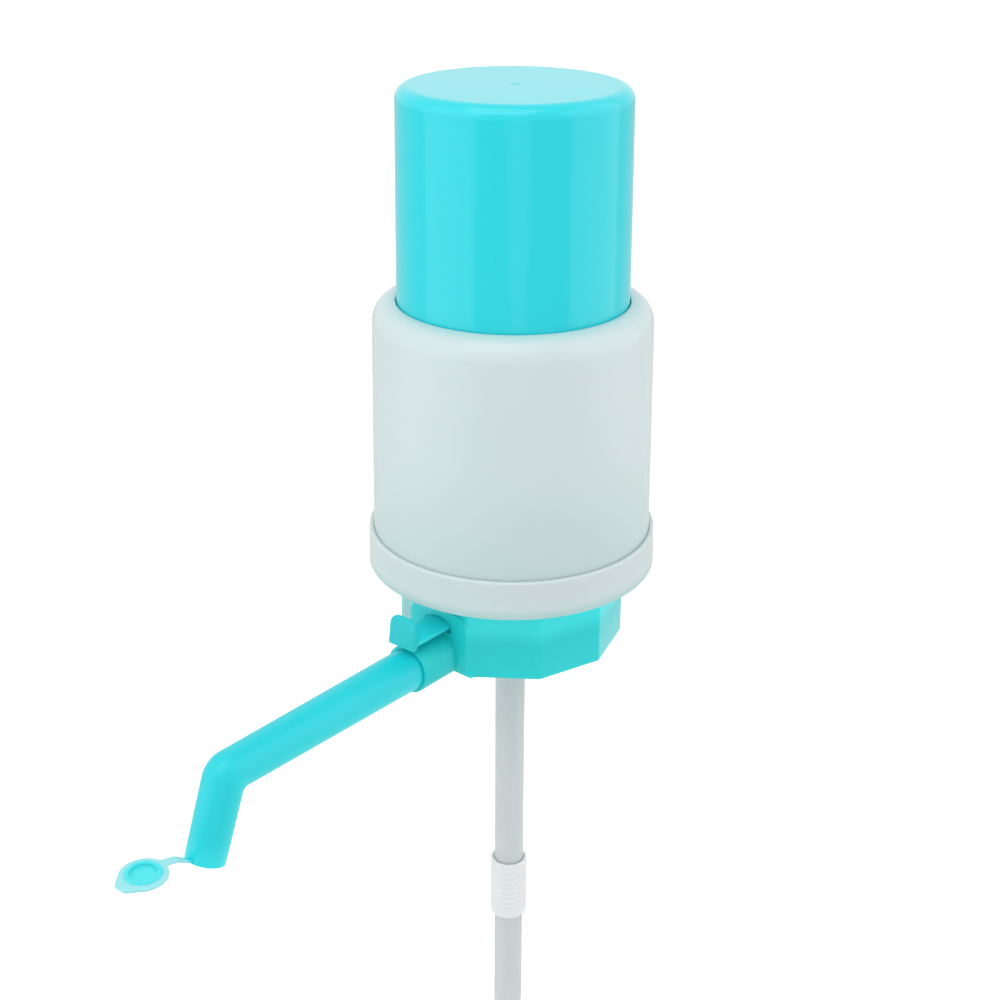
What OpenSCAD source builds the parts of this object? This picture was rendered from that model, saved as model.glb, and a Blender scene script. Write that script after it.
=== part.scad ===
// Hand press pump for a drinking water bottle: a push cap over a bellows, a two part housing,
// a ten sided collar that grips the bottle's neck, a swivelling spout and a dip tube.
// Height zero is the face that the bottle's rim presses on, Z is the axis of the neck, and
// the spout points along minus Y. All sizes are in millimetres.

/* [Push cap] */
// Outer radius of the cap at its top
cap_top_r = 35.5; // [32:0.1:40]
// How much wider the cap's wall is where it enters the sleeve
cap_draft = 0.8; // [0.2:0.1:1.2]
// Height of the cap above the sleeve when it is up
cap_rise = 65.8; // [64:0.1:80]
// Thickness of the cap's wall
cap_wall = 2; // [1.4:0.1:2.4]
// Thickness of the cap's roof
cap_roof = 2.2; // [1.6:0.1:3.5]
// Radius of the cap's top edge
cap_fillet = 4; // [2.5:0.1:6]
// Height of the ribs under the cap's roof
rib_h = 6; // [4:0.5:9]
// Thickness of the ribs under the cap's roof
rib_t = 1.6; // [1:0.1:2.4]
// Number of ribs under the cap's roof
rib_count = 6; // [3:1:8]
// Length of the straight skirt below the cap's flare
skirt_h = 3; // [1:0.5:8]

/* [Sleeve and base ring] */
// Height of the sleeve's top above the base ring
sleeve_rise = 76.6; // [76:0.1:90]
// Thickness of the sleeve's wall
sleeve_wall = 2; // [1.6:0.1:2.6]
// How much narrower the sleeve is at its shoulder than at its foot
sleeve_draft = 1.25; // [0.6:0.05:2]
// Radius of the sleeve's rounded shoulder
shoulder_r = 7; // [6:0.1:9]
// Flat land between the sleeve's opening and its rounded shoulder
rim_land = 0.4; // [0.4:0.1:2]
// Gap round the push cap in the sleeve's opening
opening_gap = 0.8; // [0.5:0.1:1.2]
// How much narrower the base ring is at its top
ring_draft = 0.25; // [0:0.05:0.5]
// Height of the base ring
ring_h = 12.8; // [11.5:0.1:16]
// Thickness of the base ring's wall
ring_wall = 1.7; // [1.4:0.1:2.4]
// Thickness of the base ring's floor
ring_floor = 2.2; // [1.6:0.1:3]
// Edge radius of the base ring
ring_edge = 0.6; // [0.3:0.1:1]
// Height of the snap bead between the base ring and the sleeve
bead_r = 0.25; // [0.15:0.05:0.4]

/* [Bellows] */
// Gap between the bellows and the push cap's wall
bellows_gap = 1.2; // [1:0.1:3]
// Depth of one fold of the bellows
fold_depth = 5; // [3:0.1:6]
// Number of folds
fold_count = 12; // [8:1:14]
// Width of the land on each crest and root
fold_land = 1; // [0.6:0.1:1.4]
// Thickness of the bellows measured across its radius
film_t = 1.2; // [0.8:0.1:1.6]
// Radius of the air opening at the top of the bellows
bellows_mouth_r = 20; // [17:0.5:22]
// How far the plate's edge stays inside the roots of the folds
plate_inset = 1.3; // [1.3:0.1:3]
// Thickness of the plate on top of the bellows
plate_t = 2.4; // [1.6:0.1:3.5]
// Height of the band that clamps the bellows
clamp_h = 5; // [3:0.1:6]
// Thickness of the band that clamps the bellows
clamp_t = 1.3; // [1:0.1:2.3]

/* [Collar] */
// Room between the neck's skirt and the collar's ten sides
collar_room = 5.96; // [5.9:0.02:7]
// Height of the collar that shows below the base ring
collar_show = 27.6; // [26:0.1:34]
// Thickness of the collar's outer wall
collar_wall = 2.2; // [1.6:0.1:2.4]
// Rounding of the collar's upright edges
corner_r = 1.4; // [0.6:0.1:2.5]
// Bevel along the collar's lower edge
collar_bevel = 0.8; // [0.3:0.1:1.4]
// Thickness of the deck between the bellows and the bottle
deck_t = 2.4; // [2:0.1:3]
// How much narrower the bellows' spigot is than the neck's skirt
spigot_step = 0.8; // [0.8:0.1:1.6]
// Thickness of the spigot
spigot_wall = 2; // [1.4:0.1:2.6]
// Height of the spigot above the base ring's floor
spigot_rise = 9; // [8.6:0.1:12]
// How far the collar reaches up inside the base ring
tuck = 4.2; // [2:0.1:5]
// Wall of the raised block beside the risers
boss_wall = 1.4; // [1.2:0.1:2]
// How far the raised block stands out from the collar's side
boss_proud = 1.4; // [1.2:0.1:2.5]
// Wall of the raised block over the lever's slot
boss_cover = 2.45; // [1:0.05:2.6]
// Corner radius of the raised block
boss_corner = 4.5; // [3:0.1:4.6]
// How far the raised block's sides spread where they meet the collar
boss_run = 1.5; // [1:0.1:2]
// Bevel along the raised block's lower edge
boss_bevel = 1.2; // [0.6:0.1:1.3]

/* [Neck] */
// Outer radius of the bottle's neck
neck_r = 27.5; // [24:0.1:31]
// Gap round the bottle's neck
neck_play = 0.3; // [0.2:0.05:0.4]
// Thickness of the skirt round the neck
neck_wall = 2; // [1.4:0.1:2.6]
// Gap between the delivery valve and the gasket
gasket_clear = 1.1; // [0.6:0.1:1.6]
// Thickness of the gasket
gasket_t = 2.4; // [1.6:0.1:3.2]

/* [Water way] */
// Radius of the water duct
duct_r = 2.3; // [1.8:0.1:2.6]
// Wall under the water duct
duct_floor = 0.6; // [0.4:0.1:1.2]
// Wall over the water duct
duct_roof = 1.2; // [0.8:0.1:2]
// Wall between a riser and the lever's chamber
duct_wall = 0.5; // [0.4:0.1:1]
// Radius of the air vent
vent_r = 1.1; // [0.7:0.1:1.2]
// Wall of the nipple that the dip tube is pushed on
nipple_wall = 1.2; // [0.8:0.05:1.6]
// Length of the nipple below the bottle's rim
nipple_l = 12; // [8:0.5:16]

/* [Spout] */
// Wall of the socket
socket_wall = 1.77; // [1.5:0.01:2.3]
// How far the socket stands out from the raised block
socket_l = 14.74; // [12:0.02:18]
// Radial clearance of the spout in its socket
spout_play = 0.08; // [0.03:0.01:0.1]
// Inner radius of the spout
spout_bore_r = 5; // [4.4:0.05:5.6]
// Wall of the spout at its tip
spout_wall = 1.1; // [0.9:0.05:1.4]
// Wall of the spout at its elbow
elbow_wall = 1.3; // [1.1:0.05:1.6]
// Wall of the spout beside the socket
root_wall = 1.95; // [1.7:0.05:2.4]
// How much wider the spout's spigot is than the spout's bore
spigot_wide = 1.2; // [1.1:0.05:1.5]
// How much narrower the spigot's bore is than the spout's bore
bore_step = 0.8; // [0.6:0.1:1.2]
// Distance of the elbow's corner from the neck's axis
elbow_s = 128.7; // [110:0.1:150]
// Bend radius of the elbow
bend_r = 10.5; // [9:0.1:13]
// Angle of the tip below the horizontal
drop_angle = 68.65; // [60:0.05:80]
// Length from the elbow's corner to the end of the tip
tip_l = 26.6; // [24:0.1:40]
// Radius of the O-ring's section
o_ring_t = 0.55; // [0.4:0.05:0.6]

/* [Spout cap] */
// How far the flange reaches past the tip's wall
flange_lip = 1; // [0.6:0.1:1.9]
// Thickness of the flange
flange_t = 1; // [0.8:0.1:1.4]
// Depth of the plug
plug_l = 2; // [1.8:0.1:6]
// Thickness of the plug's wall
plug_wall = 0.9; // [0.7:0.1:1.2]
// Radial clearance of the plug in the spout
plug_play = 0.1; // [0.05:0.01:0.15]
// How much the plug's radius tapers towards its end
plug_draft = 0.4; // [0.35:0.05:0.6]
// Depth of the dish in the flange's outer face
dish_t = 0.35; // [0.2:0.05:0.5]
// Width of the raised ring round the dish
lip_w = 1.3; // [1:0.1:1.5]
// Height of the raised ring
lip_h = 0.6; // [0.4:0.1:1]
// How far the pull tab reaches past the flange
pull_l = 1.4; // [1.1:0.1:4]
// Width of the pull tab
pull_w = 5.8; // [4:0.1:7]
// Width of the strap
strap_w = 2.8; // [2.5:0.1:5]
// Thickness of the strap
strap_t = 1; // [0.9:0.05:1.8]
// Distance of the strap's hinge outside the tip
hinge_out = 5.3; // [5:0.05:6]
// Height of the strap's hinge above the end of the tip
hinge_up = 1.37; // [1.3:0.01:2]
// Angle that the cap is open at rest
open_angle = 158.65; // [150:0.05:165]

/* [Release lever] */
// Half the width of the lever's bar
bar_half_w = 5; // [4.2:0.1:5.1]
// Outer radius of the bar's arched section
bar_arch_r = 10; // [9:0.5:14]
// Thickness of the bar
bar_t = 1.1; // [0.9:0.1:1.4]
// Depth of the bar's crown below the base ring
bar_drop = 9.05; // [8.9:0.05:9.2]
// Half the width of the end tab
tab_half_w = 5.2; // [5.1:0.1:6.5]
// Height of the end tab
tab_h = 10.1; // [8:0.1:11.5]
// Thickness of the end tab at its foot
tab_t = 2.3; // [1.9:0.1:2.6]
// Thickness of the end tab at its top
tab_top_t = 0.9; // [0.8:0.1:1.4]
// Corner radius of the end tab
tab_corner = 3.2; // [2:0.1:5]
// How far the tab reaches below the bar's crown
tab_below = 3.55; // [2.4:0.05:4]
// Gap between the tab and the socket's rim
tab_gap = 0.7; // [0.6:0.1:3]
// Gap between the tab and the top of the socket
tab_clear = 1.15; // [0.6:0.05:2]
// Wall of the lever's hub round its pin
hub_wall = 0.7; // [0.5:0.05:1]
// Radius of the lever's pin
pin_r = 0.9; // [0.7:0.05:1]
// Radial clearance of the lever on its pin
pin_play = 0.05; // [0.02:0.01:0.1]
// Radius of the spring's coil
coil_r = 1.6; // [1.4:0.05:1.7]
// Radius of the spring's wire
wire_r = 0.25; // [0.2:0.01:0.3]
// Turns of the spring
coil_turns = 6; // [4:1:8]

/* [Valves] */
// Radius of the intake valve's disc
intake_r = 9; // [7.5:0.1:12]
// Radius of the delivery valve's disc
delivery_r = 7.2; // [6.6:0.1:7.3]
// Gap between the delivery valve and the dip tube
delivery_gap = 0.8; // [0.6:0.1:1.2]
// Width of the lands on both sides of a valve's holes
valve_seat = 1.4; // [1.1:0.1:1.6]
// Thickness of a valve's disc
valve_t = 0.8; // [0.5:0.1:1]
// Lift of a valve
valve_lift = 1.2; // [0.6:0.1:1.5]
// Radius of a valve's stem
stem_r = 1.5; // [1.1:0.1:1.7]
// Radius of the knob on a valve's stem
knob_r = 2.6; // [2.3:0.1:3]
// Holes round each valve's stem
valve_holes = 6; // [4:1:7]

/* [Dip tube] */
// Outer radius of the dip tube
tube_r = 5.2; // [5:0.1:5.6]
// Wall of the dip tube
tube_wall = 1.2; // [1:0.05:1.4]
// Length of one section of the dip tube
tube_l = 130; // [80:1:200]
// Length of the coupler
coupler_l = 24; // [16:1:36]
// Thickness of the coupler's wall
coupler_t = 1.35; // [1:0.05:2]
// Thickness of the stop inside the coupler
stop_t = 1.6; // [1:0.1:3]
// How much wider the stop's bore is than the tube's
stop_step = 0.3; // [0.2:0.05:0.8]

/* [Screws] */
// Radius of a screw's shank
screw_r = 1.25; // [1:0.05:1.5]
// Length of a screw below its head
screw_l = 15; // [10:1:20]
// Radius of a screw's head
screw_head_r = 2.6; // [2.2:0.1:2.7]
// Wall of the bosses round the screws
screw_boss_wall = 1.6; // [1.2:0.1:2]

/* [Hidden] */
$fn = 96;
eps = 0.01;

// Gap between curved faces of pieces that stay still against each other
rest_gap = 0.05;
// Gap between pieces that move past each other
run_gap = 0.3;
// Small chamfer or overlap on hard edges
edge_c = 0.3;
// Segments in a quarter round of a turned profile
arc_steps = 8;
// Sides of the collar and the angle of one side
sides = 10;
side_angle = 360 / sides;

// Heights, from the bottle's rim upwards
ceiling_z = gasket_t;
deck_z = ceiling_z + deck_t;
duct_z = ceiling_z + duct_floor + duct_r;
rim_z = duct_z + duct_r + duct_roof;
ring_z0 = rim_z - tuck;
floor_z = rim_z + ring_floor;
ring_top = ring_z0 + ring_h;
sleeve_top = ring_top + sleeve_rise;
cap_top = sleeve_top + cap_rise;
collar_z0 = ring_z0 - collar_show;
spigot_top = floor_z + spigot_rise;

// Radii of the housing, from the cap outwards
cap_open_r = cap_top_r + cap_draft;
opening_r = cap_open_r + opening_gap;
shoulder_c = opening_r + rim_land;
shoulder_z = sleeve_top - shoulder_r;
sleeve_top_r = shoulder_c + shoulder_r;
sleeve_foot_r = sleeve_top_r + sleeve_draft;
ring_r = sleeve_foot_r + rest_gap + ring_wall;
bead_z = (floor_z + ring_top) / 2;

// The cap's flare runs just inside the sleeve's shoulder
flare_r = shoulder_r - sleeve_wall - run_gap;
flare_z = shoulder_z + flare_r;
cap_slope = cap_draft / (cap_rise - cap_fillet);
cap_flare_r = cap_open_r + cap_slope * (sleeve_top - flare_z);
cap_foot = shoulder_z - skirt_h;

// The collar's plan, from the neck outwards
neck_bore_r = neck_r + neck_play;
skirt_r = neck_bore_r + neck_wall;
spigot_r = skirt_r - spigot_step;
apothem = skirt_r + collar_room;
collar_r = apothem / cos(side_angle / 2);
side_len = 2 * collar_r * sin(side_angle / 2);
boss_s = apothem + boss_proud;
screw_angles = [36, 144, 216, 324];
pilot_r = screw_r + rest_gap;
screw_boss_r = pilot_r + screw_boss_wall;
screw_s = skirt_r + 0.1 + screw_boss_r;

// The bellows and what holds it
bellows_r = cap_top_r - cap_wall - bellows_gap;
bellows_root_r = bellows_r - fold_depth;
plate_r = bellows_root_r - plate_inset;
plate_top = cap_top - cap_roof - rib_h;
plate_z = plate_top - plate_t;
cuff_r = spigot_r + rest_gap;
folds_z0 = spigot_top + 0.6;
folds_z1 = plate_z - film_t;
fold_pitch = (folds_z1 - folds_z0) / fold_count;
clamp_z = spigot_top - clamp_h - 1.4;
screw_head_h = 1.7;

// The dip tube and the valves
tube_bore_r = tube_r - tube_wall;
nipple_r = tube_bore_r - rest_gap;
tube_top = -0.6;
joint_z = tube_top - tube_l;
coupler_bore_r = tube_r + rest_gap;
delivery_y = tube_r + delivery_gap + delivery_r;
gasket_in_r = delivery_y + delivery_r + gasket_clear;

// The lever and the chamber it works in
crown_z = ring_z0 - bar_drop;
hub_r = pin_r + hub_wall;
pivot_s = boss_s - hub_r - 0.1;
pivot_z = crown_z - hub_r;
socket_end = boss_s + socket_l;
tab_s = socket_end + tab_gap;
arm_z0 = pivot_z - 0.9;
arm_z1 = pivot_z + 0.9;
plug_h = 1.2;
plug_r = vent_r + 0.75;
nozzle_z = arm_z0 - plug_h - rest_gap;
nozzle_r = vent_r + 0.55;
chamber_half_w = bar_half_w + 0.4;
chamber_z0 = nozzle_z - 0.7;
riser_s = skirt_r + duct_r + 0.1;
riser_x = chamber_half_w + duct_r + duct_wall;
chamber_s0 = skirt_r + 0.1;
chamber_s1 = riser_s + coil_r + wire_r + run_gap;
slot_top = pivot_z + hub_r + run_gap;
boss_top = slot_top + boss_cover;
boss_half_w = riser_x + duct_r + boss_wall;
run_s = apothem - (boss_half_w + boss_run - side_len / 2) * tan(side_angle) - 0.1;
vent_z = chamber_z0 - 1 - vent_r;
pin_x1 = chamber_half_w + 1.2;

// The two ducts in the deck
riser_r = duct_r - 0.15;
vent_riser_r = vent_r - 0.1;
riser_angle = atan2(riser_x, riser_s);
riser_len = norm([riser_x, riser_s]);
vent_duct_z = ceiling_z + 0.7 + vent_r;
vent_from = gasket_in_r - 3.5;

// The spout
tip_r = spout_bore_r + spout_wall;
elbow_r = spout_bore_r + elbow_wall;
spout_root_r = spout_bore_r + root_wall;
spigot_bore_r = spout_bore_r - bore_step;
spout_fit_r = spout_bore_r + spigot_wide;
socket_bore_r = spout_fit_r + spout_play;
socket_r = socket_bore_r + socket_wall;
spout_z = crown_z - tab_below - tab_clear - socket_r;
socket_s0 = riser_s + duct_r + 0.1;
spout_s0 = socket_s0 + 0.6;
spout_s1 = socket_end + run_gap;
bend_t = bend_r * tan(drop_angle / 2);
elbow_s0 = elbow_s - bend_t;
lap = 0.1;
bend_step = 0.03;
tip_s = elbow_s + tip_l * cos(drop_angle);
tip_z = spout_z - tip_l * sin(drop_angle);
o_ring_s = spout_s0 + 4.4;
o_ring_r = spout_fit_r - o_ring_t;
groove_r = o_ring_r - o_ring_t - 0.02;
plug_fit_r = spout_bore_r - plug_play;
flange_r = tip_r + flange_lip;
pull_reach = flange_r + pull_l;
hinge_w = tip_r + hinge_out;

// Points of an arc about a centre, from one angle to another
function arc(c, r, a0, a1, n = arc_steps) =
    [for (i = [0:n]) let (a = a0 + (a1 - a0) * i / n) [c.x + r * cos(a), c.y + r * sin(a)]];

// Outer radius of the cap's wall at a height
function cap_wall_r(z) = cap_top_r + cap_slope * (cap_top - cap_fillet - z);

// Outer radius of the sleeve's wall at a height
function sleeve_wall_r(z) =
    sleeve_foot_r - sleeve_draft * (z - floor_z) / (shoulder_z - floor_z);

// A ring with a square section
module tube(r_out, r_in, h) {
    difference() {
        cylinder(r = r_out, h = h);
        translate([0, 0, -1]) cylinder(r = r_in, h = h + 2);
    }
}

// Shapes drawn along the spout's axis: their own Z runs outwards, from a distance s
module along_spout(s, z = spout_z) {
    translate([0, -s, z]) rotate([90, 0, 0]) children();
}

// Shapes drawn in the tip's frame: Z runs back up the tip and minus Y points outwards
module at_tip() {
    translate([0, -tip_s, tip_z]) rotate([drop_angle - 90, 0, 0]) children();
}

// The collar's outline with rounded corners
module collar_outline() {
    c = collar_r - corner_r / cos(side_angle / 2);
    polygon([for (i = [0:sides - 1]) for (s = [-1, 1])
        let (a = i * side_angle, b = a + s * side_angle / 2)
        [c * cos(a) + corner_r * cos(b), c * sin(a) + corner_r * sin(b)]]);
    for (i = [0:sides - 1])
        rotate(i * side_angle) translate([c, 0]) circle(r = corner_r, $fn = 48);
}

// An upright slab across the spout's direction, with rounded upper corners
module arched_slab(half_w, z0, z1, s0, s1, corner) {
    translate([0, -s0, 0]) rotate([90, 0, 0]) linear_extrude(height = s1 - s0) {
        translate([-half_w, z0]) square([2 * half_w, z1 - corner - z0]);
        translate([corner - half_w, z0]) square([2 * (half_w - corner), z1 - z0]);
        for (side = [-1, 1])
            translate([side * (half_w - corner), z1 - corner]) circle(r = corner, $fn = 32);
    }
}

// A loose valve: its disc's upper face is at height zero
module mushroom_valve(disc_r, wall) {
    translate([0, 0, -valve_t]) cylinder(r = disc_r, h = valve_t);
    translate([0, 0, -eps]) cylinder(r = stem_r, h = wall + valve_lift + 2 * rest_gap + 2 * eps);
    translate([0, 0, wall + valve_lift + 2 * rest_gap])
        cylinder(r1 = knob_r, r2 = stem_r, h = 1.6);
}

// The holes that a loose valve covers, and the hole for its stem
module valve_ports(disc_r, z0, h) {
    hole_r = (disc_r - stem_r - run_gap) / 2 - valve_seat;
    ring = stem_r + run_gap + valve_seat + hole_r;
    translate([0, 0, z0]) cylinder(r = stem_r + run_gap, h = h);
    for (i = [0:valve_holes - 1])
        rotate(i * 360 / valve_holes + 30)
            translate([ring, 0, z0]) cylinder(r = hole_r, h = h, $fn = 32);
}

// Push cap: a tall cup with a flare that the sleeve's shoulder holds back
module push_cap() {
    inner_r = cap_top_r - cap_wall;
    inner_fillet = cap_fillet - cap_wall;
    color([0.24, 0.85, 0.89]) {
        rotate_extrude() polygon(concat(
            [[shoulder_c + flare_r, cap_foot]],
            arc([shoulder_c, shoulder_z], flare_r, 0, 90),
            [[cap_flare_r, flare_z]],
            arc([cap_top_r - cap_fillet, cap_top - cap_fillet], cap_fillet, 0, 90),
            [[0, cap_top], [0, cap_top - cap_roof]],
            arc([inner_r - inner_fillet, cap_top - cap_roof - inner_fillet],
                inner_fillet, 90, 0),
            [[cap_flare_r - cap_wall, flare_z - cap_wall]],
            arc([shoulder_c, shoulder_z], flare_r - cap_wall, 90, 0),
            [[shoulder_c + flare_r - cap_wall, cap_foot]]));
        for (i = [0:rib_count - 1])
            rotate(i * 360 / rib_count)
                translate([knob_r + 2.4, -rib_t / 2, plate_top])
                    cube([plate_r - knob_r - 2.4, rib_t, rib_h + cap_roof / 2]);
    }
}

// Plate on top of the bellows, with the intake holes
module bellows_plate() {
    color([0.92, 0.94, 0.94]) difference() {
        union() {
            translate([0, 0, plate_z]) cylinder(r = plate_r, h = plate_t);
            translate([0, 0, plate_z - film_t - 1])
                tube(bellows_mouth_r - 0.4, bellows_mouth_r - 2, film_t + 1 + plate_t / 2);
        }
        valve_ports(intake_r, plate_z - 1, plate_t + 2);
    }
}

// Intake valve under the plate
module intake_valve() {
    color([0.86, 0.88, 0.88]) translate([0, 0, plate_z - rest_gap])
        mushroom_valve(intake_r, plate_t);
}

// Bellows: a cuff on the spigot, the folds, and a flat top with the air opening
module bellows() {
    root_r = bellows_root_r;
    outer = [for (i = [0:fold_count - 1]) let (z = folds_z0 + fold_pitch * i)
        each [[root_r, z + fold_land / 2],
              [bellows_r, z + fold_pitch / 2 - fold_land / 2],
              [bellows_r, z + fold_pitch / 2 + fold_land / 2],
              [root_r, z + fold_pitch - fold_land / 2]]];
    inner = [for (i = [len(outer) - 1:-1:0]) [outer[i].x - film_t, outer[i].y]];
    color([0.93, 0.95, 0.95]) rotate_extrude() polygon(concat(
        [[cuff_r, clamp_z - 0.6], [cuff_r + film_t - rest_gap, clamp_z - 0.6],
         [cuff_r + film_t - rest_gap, spigot_top + edge_c], [root_r, folds_z0]],
        outer,
        [[root_r, plate_z], [bellows_mouth_r, plate_z],
         [bellows_mouth_r, plate_z - film_t], [root_r - film_t, plate_z - film_t]],
        inner,
        [[root_r - film_t, folds_z0], [cuff_r - film_t, spigot_top + edge_c],
         [cuff_r, spigot_top + edge_c]]));
}

// Band that clamps the bellows on the spigot
module bellows_clamp() {
    band_r = cuff_r + film_t;
    color([0.80, 0.83, 0.84]) translate([0, 0, clamp_z]) rotate_extrude()
        polygon([[band_r, 0], [band_r + clamp_t - 0.5, 0], [band_r + clamp_t, 0.5],
                 [band_r + clamp_t, clamp_h - 0.5], [band_r + clamp_t - 0.5, clamp_h],
                 [band_r, clamp_h]]);
}

// Sleeve of the housing, with the rounded shoulder that the push cap comes out of
module outer_sleeve() {
    lip_z = sleeve_top - sleeve_wall;
    inner_arc = shoulder_r - sleeve_wall;
    color([0.87, 0.90, 0.90]) rotate_extrude() polygon(concat(
        [[sleeve_foot_r - sleeve_wall, floor_z], [sleeve_foot_r, floor_z],
         [sleeve_wall_r(bead_z - 2 * bead_r), bead_z - 2 * bead_r],
         [sleeve_wall_r(bead_z) - bead_r - rest_gap, bead_z - bead_r],
         [sleeve_wall_r(bead_z) - bead_r - rest_gap, bead_z + bead_r],
         [sleeve_wall_r(bead_z + 2 * bead_r), bead_z + 2 * bead_r]],
        arc([shoulder_c, shoulder_z], shoulder_r, 0, 90, 14),
        [[opening_r + edge_c, sleeve_top], [opening_r, sleeve_top - edge_c], [opening_r, lip_z]],
        arc([shoulder_c, shoulder_z], inner_arc, 90, 0)));
}

// Base ring: the sleeve stands in it, and the collar is screwed up against its floor
module base_ring() {
    bore_r = spigot_r + 0.6;
    well_r = ring_r - ring_wall;
    skirt_in_r = well_r - 0.4;
    color([0.85, 0.88, 0.88]) difference() {
        rotate_extrude() polygon(concat(
            [[bore_r, rim_z], [skirt_in_r - 0.8, rim_z], [skirt_in_r, rim_z - 0.8],
             [skirt_in_r, ring_z0]],
            arc([ring_r - ring_edge, ring_z0 + ring_edge], ring_edge, -90, 0),
            arc([ring_r - ring_draft - ring_edge, ring_top - ring_edge], ring_edge, 0, 90),
            [[well_r, ring_top], [well_r, bead_z + 2 * bead_r],
             [well_r - bead_r, bead_z + bead_r / 2], [well_r - bead_r, bead_z - bead_r / 2],
             [well_r, bead_z - 2 * bead_r], [well_r, floor_z], [bore_r, floor_z]]));
        for (a = screw_angles)
            rotate(a) translate([screw_s, 0, rim_z - 1])
                cylinder(r = screw_r + 0.35, h = ring_floor + 2, $fn = 32);
    }
}

// Screws that hold the collar to the base ring
module base_screws() {
    color([0.72, 0.74, 0.76])
        for (a = screw_angles) rotate(a) translate([screw_s, 0, floor_z]) difference() {
            union() {
                cylinder(r = screw_head_r, h = screw_head_h, $fn = 48);
                translate([0, 0, 1 - screw_l]) cylinder(r = screw_r, h = screw_l, $fn = 32);
                translate([0, 0, -screw_l]) cylinder(r1 = 0.4, r2 = screw_r, h = 1, $fn = 32);
            }
            for (t = [0, 90])
                rotate(t) translate([-screw_r, -0.3, screw_head_h - 0.9])
                    cube([2 * screw_r, 0.6, 1]);
        }
}

// Solid parts of the collar below, at and above its deck
module collar_body() {
    translate([0, 0, collar_z0]) linear_extrude(height = ceiling_z - collar_z0 + eps) {
        difference() {
            collar_outline();
            circle(r = collar_r - collar_wall / cos(side_angle / 2), $fn = sides);
        }
        difference() {
            circle(r = skirt_r);
            circle(r = neck_bore_r);
        }
        for (a = screw_angles) rotate(a) translate([screw_s, 0]) circle(r = screw_boss_r);
    }
    translate([0, 0, ceiling_z]) linear_extrude(height = deck_t) collar_outline();
    translate([0, 0, deck_z - eps]) linear_extrude(height = rim_z - deck_z + eps) {
        difference() {
            collar_outline();
            circle(r = collar_r - collar_wall / cos(side_angle / 2), $fn = sides);
        }
        for (a = screw_angles) rotate(a) translate([screw_s, 0]) circle(r = screw_boss_r);
        for (side = [-1, 1]) translate([side * riser_x, -riser_s]) circle(r = duct_r + 1);
        duct_rib(1, duct_r + duct_roof);
        circle(r = duct_r + duct_roof);
    }
    translate([0, 0, deck_z - eps])
        tube(spigot_r, spigot_r - spigot_wall, spigot_top - deck_z + eps);
    translate([0, 0, deck_z - eps]) linear_extrude(height = vent_r + 1.5)
        duct_rib(-1, vent_r + 1);
    translate([0, 0, -nipple_l]) cylinder(r = nipple_r, h = nipple_l + ceiling_z + 1);
}

// Outline of a rib from the neck's axis to one of the two risers
module duct_rib(side, half_w) {
    rotate(side * riser_angle) translate([-half_w, -riser_len])
        square([2 * half_w, riser_len - (side > 0 ? 0 : vent_from - 2)]);
}

// Raised block round the spout, from the neck's skirt to just outside the collar's side
module collar_block() {
    difference() {
        union() {
            difference() {
                hull() {
                    arched_slab(boss_half_w, collar_z0, boss_top, apothem, boss_s, boss_corner);
                    arched_slab(boss_half_w + boss_run, collar_z0, boss_top,
                        apothem - collar_wall, run_s, boss_corner);
                }
                translate([0, -boss_s, collar_z0]) rotate([45, 0, 0])
                    cube([4 * boss_half_w, boss_bevel * sqrt(2), boss_bevel * sqrt(2)],
                        center = true);
            }
            translate([0.7 - boss_half_w, 0.5 - apothem, collar_z0])
                cube([2 * (boss_half_w - 0.7), apothem - 0.5 - neck_bore_r, deck_z - collar_z0]);
            along_spout(socket_s0 - 1.5)
                cylinder(r = socket_r, h = socket_end - socket_s0 + 1.5);
        }
        translate([0, 0, collar_z0 - 1])
            cylinder(r = neck_bore_r + neck_wall / 2, h = ceiling_z - collar_z0 + 1);
    }
}

// Bevels that run along the ten lower edges of the collar
module collar_bevels() {
    for (i = [0:sides - 1])
        rotate((i + 0.5) * side_angle) translate([apothem, 0, collar_z0])
            rotate([0, 45, 0]) cube([collar_bevel * sqrt(2), 1.3 * side_len, collar_bevel * sqrt(2)],
                center = true);
}

// The lever's chamber, which is open at the front of the block, and the socket's bore
module collar_spaces() {
    translate([-chamber_half_w, -boss_s - 1, chamber_z0])
        cube([2 * chamber_half_w, boss_s + 1 - chamber_s0, slot_top - chamber_z0]);
    translate([-chamber_half_w, -chamber_s1, chamber_z0])
        cube([2 * chamber_half_w, chamber_s1 - chamber_s0, ceiling_z - chamber_z0]);
    along_spout(socket_s0) cylinder(r = socket_bore_r, h = socket_end);
}

// Water's way from the bellows' room down to the socket, and on from the dip tube
module water_way() {
    along_spout(riser_s - riser_r)
        cylinder(r = duct_r, h = socket_s0 - riser_s + riser_r + edge_c);
    translate([-1, -riser_s, spout_z]) rotate([0, 90, 0])
        cylinder(r = riser_r, h = riser_x + 1);
    translate([riser_x, -riser_s, spout_z - riser_r])
        cylinder(r = riser_r, h = duct_z - spout_z + riser_r);
    translate([0, 0, duct_z]) rotate(riser_angle) rotate([90, 0, 0])
        cylinder(r = duct_r, h = riser_len + riser_r);
    translate([0, 0, -nipple_l - 1])
        cylinder(r = nipple_r - nipple_wall, h = nipple_l + 1 + duct_z);
}

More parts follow.
